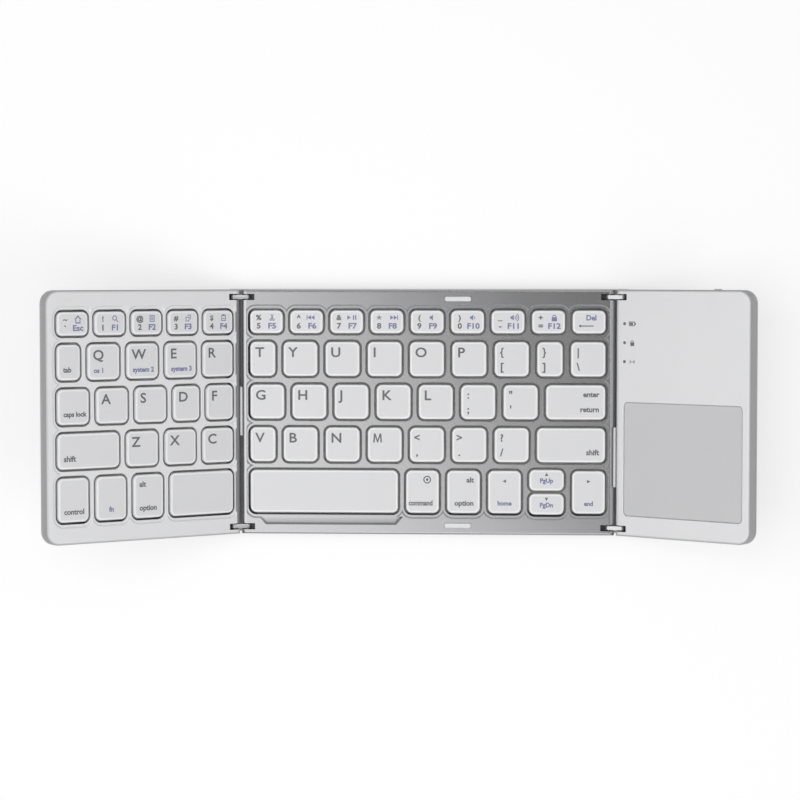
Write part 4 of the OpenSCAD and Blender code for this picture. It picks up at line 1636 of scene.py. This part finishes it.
def mid_legends() -> list:
    """Legends of the middle panel's keys, row by row."""
    media = 2.2
    arrows = (("◂", "home", 4.0, -4.0), ("▴", "PgUp", 1.7, 4.2), ("▾", "PgDn", 2.0, 4.4),
              ("▸", "end", 4.0, -4.0))
    delete = [Legend("Del", -5.6, 2.8, 2.0, Ink.BLUE, Align.CENTER),
              Legend(Sign.DELETE, 5.3, 6.1, 1.75, align=Align.CENTER)]
    return [
        [number("%", "5", "F5", Sign.CUT), number("^", "6", "F6", Sign.BACK, media),
         number("&", "7", "F7", Sign.PLAY, media), number(Sign.STAR, "8", "F8", Sign.NEXT, media),
         number("(", "9", "F9", Sign.MUTE), number(")", "0", "F10", Sign.LOW),
         number("_", "-", "F11", Sign.LOUD), number("+", "=", "F12", Sign.LOCK, 2.9), delete],
        [letter(c) for c in "TYUIOP"] + [pair(*p) for p in ("{[", "}]", "|\\")],
        [letter(c) for c in "GHJKL"] + [pair(*p) for p in (":;", "\"'")]
        + [word("enter", True, False) + word("return", True)],
        [letter(c) for c in (*"VBN", Sign.LETTER_M)] + [pair(*p) for p in ("<,", ">.", "?/")]
        + [word("shift", True, size=2.1)],
        [[], [Legend(Sign.DOT, -4.6, 3.6, 3.2, align=Align.CENTER)] + word("command", True, wide=0.84),
         word("alt", True, False) + word("option", True)] + [arrow(*a) for a in arrows],
    ]


def written(text: str, height: float, align: Align) -> Shape:
    """A word as a flat mesh about the origin.

    Args:
        text: the word.
        height: height of a capital letter.
        align: LEFT, CENTER or RIGHT.

    Returns:
        The mesh.
    """
    capital, bold, bold_dollar = 0.69, 0.11, 0.07
    curve = bpy.data.curves.new("word", "FONT")
    curve.body, curve.size = text, height / capital
    curve.align_x = align.value
    curve.resolution_u = 3
    curve.offset = bold_dollar if text == "$" else bold
    holder = bpy.data.objects.new("word", curve)
    mesh = bpy.data.meshes.new_from_object(holder)
    points = np.zeros(len(mesh.vertices) * 3)
    mesh.vertices.foreach_get("co", points)
    points = points.reshape(-1, 3)
    points[:, 1] -= height / 2
    shape = Shape()
    shape.add(points)
    shape.faces = [list(f.vertices) for f in mesh.polygons]
    shape.smooth = [False] * len(shape.faces)
    bpy.data.objects.remove(holder)
    bpy.data.curves.remove(curve)
    bpy.data.meshes.remove(mesh)
    return shape


@dataclass
class KeyGroup:
    """The keycaps of one CAD node and what is printed on them.

    Args:
        panel: their panel.
        node: the CAD node, also the name of the body.
        keys: the key tops.
        texts: legends of each key.
        rim: width of the sloped border round the top.
        slope: how far the border drops from the top.
        round: radius of the rounded edge.
        soft: softened edge of the skirt.
    """

    panel: Panel
    node: str
    keys: list
    texts: list
    rim: float = 1.0
    slope: float = 0.1
    round: float = 0.28
    soft: float = 0.1

    def cap(self, k: Key) -> Shape:
        """One keycap: skirt, step, wall, rounded edge, sloped border and top.

        The outline at a growth d is the key's rounded rectangle grown by d.

        Args:
            k: the key.

        Returns:
            The cap. Its painted-light mask is 1 on the sloped border, where a painted highlight lightens
            it.
        """
        top = S.thick - S.key_drop
        low, rolled = top - S.cap_h, top - self.slope

        def ring(d: float, z: float) -> np.ndarray:
            """The key's outline grown by d at height z."""
            return lift(field_loop([[k]], 0, 0, S.key_r, d), z)

        s, r = S.skirt, self.round
        rings = [ring(s - self.soft, low), ring(s, low + self.soft), ring(s, top - 0.72),
                 ring(s - self.soft, top - 0.6), ring(0.04, top - 0.55), ring(0.0, top - 0.5)]
        rings += [ring(-r * (1 - math.cos(t)), rolled - r * (1 - math.sin(t)))
                  for t in np.linspace(0, math.pi / 2, 5)[:-1]]
        # Painted highlight on the upper rounding and the sloped border.
        mask = [0.0] * (len(rings) - 1) + [0.6, 1.0, 1.0, 0.0]
        rings += [ring(-r, rolled), ring(-self.rim * 0.6, top - self.slope * 0.35), ring(-self.rim, top)]
        return Shape().solid(rings, mask)

    def build(self) -> None:
        """Make the caps and their legends."""
        matrix = self.panel.matrix()
        caps = Shape()
        for k in self.keys:
            caps.merge(self.cap(k))
        place(caps.mesh(self.node), f"{self.node}_tops", matrix, KEYCAP, self.node, (self.node,), "keycap")
        for ink, finish in INKS.items():
            stamps = Shape()
            for k, texts in zip(self.keys, self.texts):
                for t in (t for t in texts if t.ink is ink):
                    stamps.merge(self.stamp(k, t))
            if stamps.faces:
                place(stamps.mesh("print"), f"{self.node}_{ink.value}_print", matrix, finish, self.node,
                      (), "keycap")

    def stamp(self, k: Key, t: Legend) -> Shape:
        """One legend in its place on a key.

        Args:
            k: the key.
            t: the legend.

        Returns:
            The legend's mesh in the panel's frame.
        """
        centred = t.align is Align.MIDDLE
        x = k.x if centred else (k.x - k.w / 2 if t.dx >= 0 else k.x + k.w / 2) + t.dx
        y = (k.y + k.h / 2 if t.dy >= 0 else k.y - k.h / 2) - t.dy
        z = S.thick - S.key_drop + S.print_lift
        moved = Matrix.Translation((x, y, z)) @ Matrix.Diagonal((t.wide, 1, 1, 1))
        if isinstance(t.text, Sign):
            return Shape().merge(drawn(t.text, t.size), moved)
        return Shape().merge(written(t.text, t.size, Align.CENTER if centred else t.align), moved)


@dataclass
class Hinge:
    """The links and the cable sleeve of one wing.

    Args:
        panel: the wing.
        sleeve_y: middle of the sleeve.
        sleeve_len: its length.
        link_h: height of a link.
        link_t: its thickness.
        sleeve_t: thickness of the sleeve.
        sleeve_w: its width.
    """

    panel: Panel
    sleeve_y: float
    sleeve_len: float
    link_h: float = 2.4
    link_t: float = 1.8
    sleeve_t: float = 0.9
    sleeve_w: float = 3.8

    def build(self) -> None:
        """Make the links and the sleeve."""
        name, x = self.panel.name, self.panel.side.value * S.span / 2
        matrix, body = self.panel.link_matrix(), f"{name}_link"
        size = (0, 0, S.span + self.link_h, self.link_h)
        plate = rounded_box(size, self.link_h / 2 - 0.01, 0.0, self.link_t, 0.25)
        links = Shape()
        for y in (S.link_in - HALF, HALF - S.link_in):
            links.merge(plate, Matrix.Translation((x, y + self.link_t / 2, 0)) @ UPRIGHT)
        place(links.mesh("links"), f"{name}_links", matrix, BRIGHT, body, (f"{name}_hinge_links",), "steel")
        skin = rounded_box((0, 0, self.sleeve_t, self.sleeve_w), 0.38, 0.0, self.sleeve_len, 0.3)
        moved = Matrix.Translation((x, self.sleeve_y + self.sleeve_len / 2, 0)) @ UPRIGHT
        place(Shape().merge(skin, moved).mesh("sleeve"), f"{name}_sleeve", matrix, SLEEVE, body,
              (f"{name}_cable_sleeve",), "sleeve_rubber")


@dataclass
class SmallParts:
    """Feet, bumpers, touchpad, button and lamp signs.

    Args:
        foot_len: length of a foot.
        foot_w: its width.
        foot_end: its distance from the panel's end.
        foot_y: distance of the feet from the middle line.
        bumper_out: how far a bumper stands above the rim.
        sign_x: middle of the lamp signs.
    """

    foot_len: float = 16.0
    foot_w: float = 4.0
    foot_end: float = 10.0
    foot_y: float = 38.0
    bumper_out: float = 0.7
    sign_x: float = 8.2

    def feet(self, p: Panel) -> None:
        """Rubber feet of a panel.

        Args:
            p: the panel.
        """
        reach = self.foot_end + self.foot_len / 2
        pads = Shape()
        for x in (p.x0 + reach, p.x1 - reach):
            for y in (-self.foot_y, self.foot_y):
                size = (x, y, self.foot_len, self.foot_w)
                pads.merge(rounded_box(size, self.foot_w / 2 - 0.01, -S.foot, 0.0, 0.12))
        place(pads.mesh("feet"), f"{p.name}_foot_pads", p.matrix(), FOOT, p.body, (f"{p.name}_feet",),
              "foot_rubber")

    def bumpers(self) -> None:
        """Strips on the middle panel's rim that the folded wings rest on."""
        strips = Shape()
        for y in (-FIT.bumper_y, FIT.bumper_y):
            strips.merge(rounded_box((S.seam_x, y, *FIT.bumper), 0.6, S.thick - FIT.bumper_deep,
                                     S.thick + self.bumper_out, 0.3))
        place(strips.mesh("bumpers"), "rim_bumper_strips", MID.matrix(), BUMPER, MID.body,
              ("rim_bumpers",), "bumper")

    def pad(self) -> None:
        """Touchpad plate with a softened edge."""
        plate = rounded_box(FIT.pad, FIT.pad_r, FIT.pad_bed, FIT.pad_top, 0.15)
        place(plate.mesh("pad"), "touchpad_plate", RIGHT.matrix(), PAD, RIGHT.body, ("touchpad",),
              "touchpad")

    def button(self) -> None:
        """Power button with a rounded face and its flange."""
        length, flange0, flange1 = 3.2, 1.9, 2.7
        stem = rounded_box((0, 0, *FIT.button), FIT.button[1] / 2 - 0.01, 0.0, length, 0.25)
        stem.merge(rounded_box((0, 0, *FIT.button_flange), FIT.button_flange[1] / 2 - 0.01, flange0,
                               flange1, 0.1))
        moved = Matrix.Translation((FIT.button_x, HALF + S.button_out, FIT.button_z)) @ UPRIGHT
        place(Shape().merge(stem, moved).mesh("button"), "power_button_cap", RIGHT.matrix(), BUTTON,
              "power_button", ("power_button",), "button")

    def signs(self) -> None:
        """Signs beside the lamps: a battery, a lock and radio waves."""
        ink = Shape()
        lying = Shape().merge(drawn(Sign.BATTERY, 3.2), Matrix.Rotation(math.radians(-90), 4, "Z"))
        for i, sign in enumerate((lying, drawn(Sign.LOCK, 2.5), drawn(Sign.BEAMS, 2.3))):
            ink.merge(sign, Matrix.Translation((self.sign_x, FIT.lamp_y(i), S.thick + S.print_lift)))
        place(ink.mesh("signs"), "lamp_signs", RIGHT.matrix(), INKS[Ink.DARK], RIGHT.body, (),
              "bezel_silver")

    def inner(self) -> None:
        """Finishes of the CAD pieces that are shown as they are."""
        for finish, nodes in INNER:
            for node in nodes:
                materials = bpy.data.objects[node].data.materials
                materials.clear()
                materials.append(finish.material())
                LOG.info("%s: finish %s", node, finish.name)


@dataclass
class Studio:
    """Floor, lights, world and camera, in metres.

    Args:
        eye: place of the camera.
        turn: its turns about x, y and z in degrees.
        focal: its focal length in pixels.
        picture: width of the picture in pixels.
        sensor: width of the sensor in millimetres.
        glow: strength of the floor's lift towards white.
        bright: strength of the card.
        dim: strength of the card in its band.
        middle: place of the band's middle.
        half: half of the band's width.
        spread: half of the width over which it eases off.
        surround: strength of the world.
        clear_x: distances from the middle panel's middle along x over which
            the floor's lift sets in.
        clear_y: the same along y.
    """

    eye: tuple = (0.0574130, 0.056, 1.0149)
    turn: tuple = (2.91, -3.37, 0.01)
    focal: float = 2531.4
    picture: float = 800.0
    sensor: float = 36.0
    glow: float = 0.58
    bright: float = 1.35
    dim: float = 0.0
    middle: float = 0.29
    half: float = 0.41
    spread: float = 0.07
    surround: float = 0.49
    clear_x: tuple = (0.0775, 0.0805)
    clear_y: tuple = (0.0484, 0.0492)

    def sheet(self, name: str, corners: list) -> bpy.types.Object:
        """One flat face with an empty material of its own.

        Args:
            name: name of the face and its material.
            corners: its four corners, anticlockwise as seen from its front.

        Returns:
            The object.
        """
        mesh = bpy.data.meshes.new(name)
        mesh.from_pydata(corners, [], [(0, 1, 2, 3)])
        sheet = bpy.data.objects.new(name, mesh)
        bpy.context.scene.collection.objects.link(sheet)
        mesh.materials.append(bpy.data.materials.new(name))
        mesh.materials[0].use_nodes = True
        return sheet

    def floor(self) -> None:
        """Wide pale floor, lifted towards white for the camera and in reflections.

        The lift is left out under the middle panel and in the hinge gaps,
        where the floor lies in the keyboard's shadow.
        """
        a = 3.0
        floor = self.sheet("floor", [(-a, -a, 0), (a, -a, 0), (a, a, 0), (-a, a, 0)])
        floor.location.x = MID.matrix().translation.x
        tree = floor.data.materials[0].node_tree
        wires = Wires(tree)
        path = wires.node("LightPath", {}).outputs
        seen = wires.math("ADD", path["Is Camera Ray"], path["Is Glossy Ray"])
        axes = wires.node("SeparateXYZ", {0: wires.position()}).outputs
        beside = [
            wires.node("MapRange", {"Value": wires.math("ABSOLUTE", axes[axis]), "From Min": near,
                                    "From Max": far}).outputs["Result"]
            for axis, (near, far) in (("X", self.clear_x), ("Y", self.clear_y))
        ]
        shown = wires.math("MULTIPLY", seen, wires.math("MAXIMUM", *beside))
        wires.feed(tree.nodes["Principled BSDF"], {
            "Base Color": (0.42, 0.42, 0.42, 1),
            "Roughness": 1.0,
            "Specular IOR Level": 0.0,
            "Emission Color": (1, 1, 1, 1),
            "Emission Strength": wires.math("MULTIPLY", shown, self.glow),
        })

    def card(self) -> None:
        """Overhead card for reflections, with a dim band that runs across it.

        With v = |x + 0.8 y - middle|, its strength rises from dim to bright as
        v goes from half - spread to half + spread, eased at both ends.
        """
        a, b, z = 2.5, 1.1, 1.6
        card = self.sheet("card", [(-a, -a, z), (-a, a, z), (b, a, z), (b, -a, z)])
        card.visible_camera = card.visible_diffuse = card.visible_shadow = False
        tree = card.data.materials[0].node_tree
        tree.nodes.clear()
        wires = Wires(tree)
        along = wires.node("VectorMath", {0: wires.position(), 1: (1.0, 0.8, 0.0)}, operation="DOT_PRODUCT")
        away = wires.math("ABSOLUTE", wires.math("SUBTRACT", along.outputs["Value"], self.middle))
        ease = wires.node("MapRange", {
            "Value": away, "From Min": self.half - self.spread, "From Max": self.half + self.spread,
            "To Min": self.dim, "To Max": self.bright,
        }, interpolation_type="SMOOTHSTEP")
        glow = wires.node("Emission", {"Strength": ease.outputs["Result"]})
        wires.node("OutputMaterial", {"Surface": glow.outputs["Emission"]})

    def light(self, name: str, at: tuple, size: tuple, power: float) -> None:
        """One soft rectangular light that looks at the keyboard.

        Args:
            name: its name.
            at: its place.
            size: its width and height.
            power: its power in watts.
        """
        data = bpy.data.lights.new(name, "AREA")
        data.shape, data.size, data.size_y, data.energy = "RECTANGLE", *size, power
        lamp = bpy.data.objects.new(name, data)
        lamp.location = at
        lamp.visible_glossy = False
        lamp.rotation_euler = (-Vector(at)).to_track_quat("-Z", "Y").to_euler()
        bpy.context.scene.collection.objects.link(lamp)

    def world(self) -> None:
        """Even pale surroundings."""
        world = bpy.data.worlds.new("studio")
        world.use_nodes = True
        Wires(world.node_tree).feed(world.node_tree.nodes["Background"],
                                    {"Color": (1, 1, 1, 1), "Strength": self.surround})
        bpy.context.scene.world = world

    def camera(self) -> None:
        """Camera that looks down on the keyboard."""
        data = bpy.data.cameras.new("camera")
        data.lens, data.sensor_width = self.focal / self.picture * self.sensor, self.sensor
        data.clip_start, data.clip_end = 0.05, 20
        rx, ry, rz = (Matrix.Rotation(math.radians(a), 3, axis) for a, axis in zip(self.turn, "XYZ"))
        eye = bpy.data.objects.new("camera", data)
        eye.matrix_world = Matrix.Translation(self.eye) @ (rx @ ry @ rz).transposed().to_4x4()
        bpy.context.scene.collection.objects.link(eye)
        bpy.context.scene.camera = eye

    def build(self) -> None:
        """Set everything up."""
        self.floor()
        self.card()
        self.light("key", (-0.2, 0.0, 0.7), (0.6, 0.6), 2.4)
        self.light("fill", (0.8, -0.5, 0.9), (0.8, 0.8), 4.4)
        self.world()
        self.camera()
        bpy.context.scene.view_settings.view_transform = "Standard"


def main() -> None:
    """Build the keyboard piece by piece, then the studio."""
    logging.basicConfig(level=logging.INFO, format="%(name)s: %(message)s")
    left_slit, right_slit = (0.3, 19.6), (-17.7, 23.9)
    mid_boss = (MID.x0 + S.boss_end, S.seam_x - S.boss_seam, MID.x1 - S.boss_end)
    left_boss = (LEFT.x0 + S.boss_end, LEFT.x1 - S.boss_end)
    right_boss = (RIGHT.x0 + S.boss_end, RIGHT.x1 - S.boss_end)
    KeyCover(MID, FRAME_SILVER, "frame_silver", mid_boss, {1: left_slit, -1: right_slit}).build()
    KeyCover(LEFT, BEZEL, "bezel_silver", left_boss, {-1: left_slit}).build()
    PadCover(RIGHT, BEZEL, "bezel_silver", right_boss, {1: right_slit}).build()
    for panel, bosses in ((MID, mid_boss), (LEFT, left_boss), (RIGHT, right_boss)):
        Tray(panel, bosses).build()
    for panel, texts in ((LEFT, left_legends()), (MID, mid_legends())):
        rows = LAYOUT.rows(panel)
        for node, row, a, b in KEY_NODES[panel.name]:
            KeyGroup(panel, node, rows[row][a:b], texts[row][a:b]).build()
    Hinge(LEFT, *left_slit).build()
    Hinge(RIGHT, *right_slit).build()
    small = SmallParts()
    for panel in (LEFT, MID, RIGHT):
        small.feet(panel)
    small.bumpers()
    small.pad()
    small.button()
    small.signs()
    small.inner()
    Studio().build()


if __name__ == "__main__":
    main()
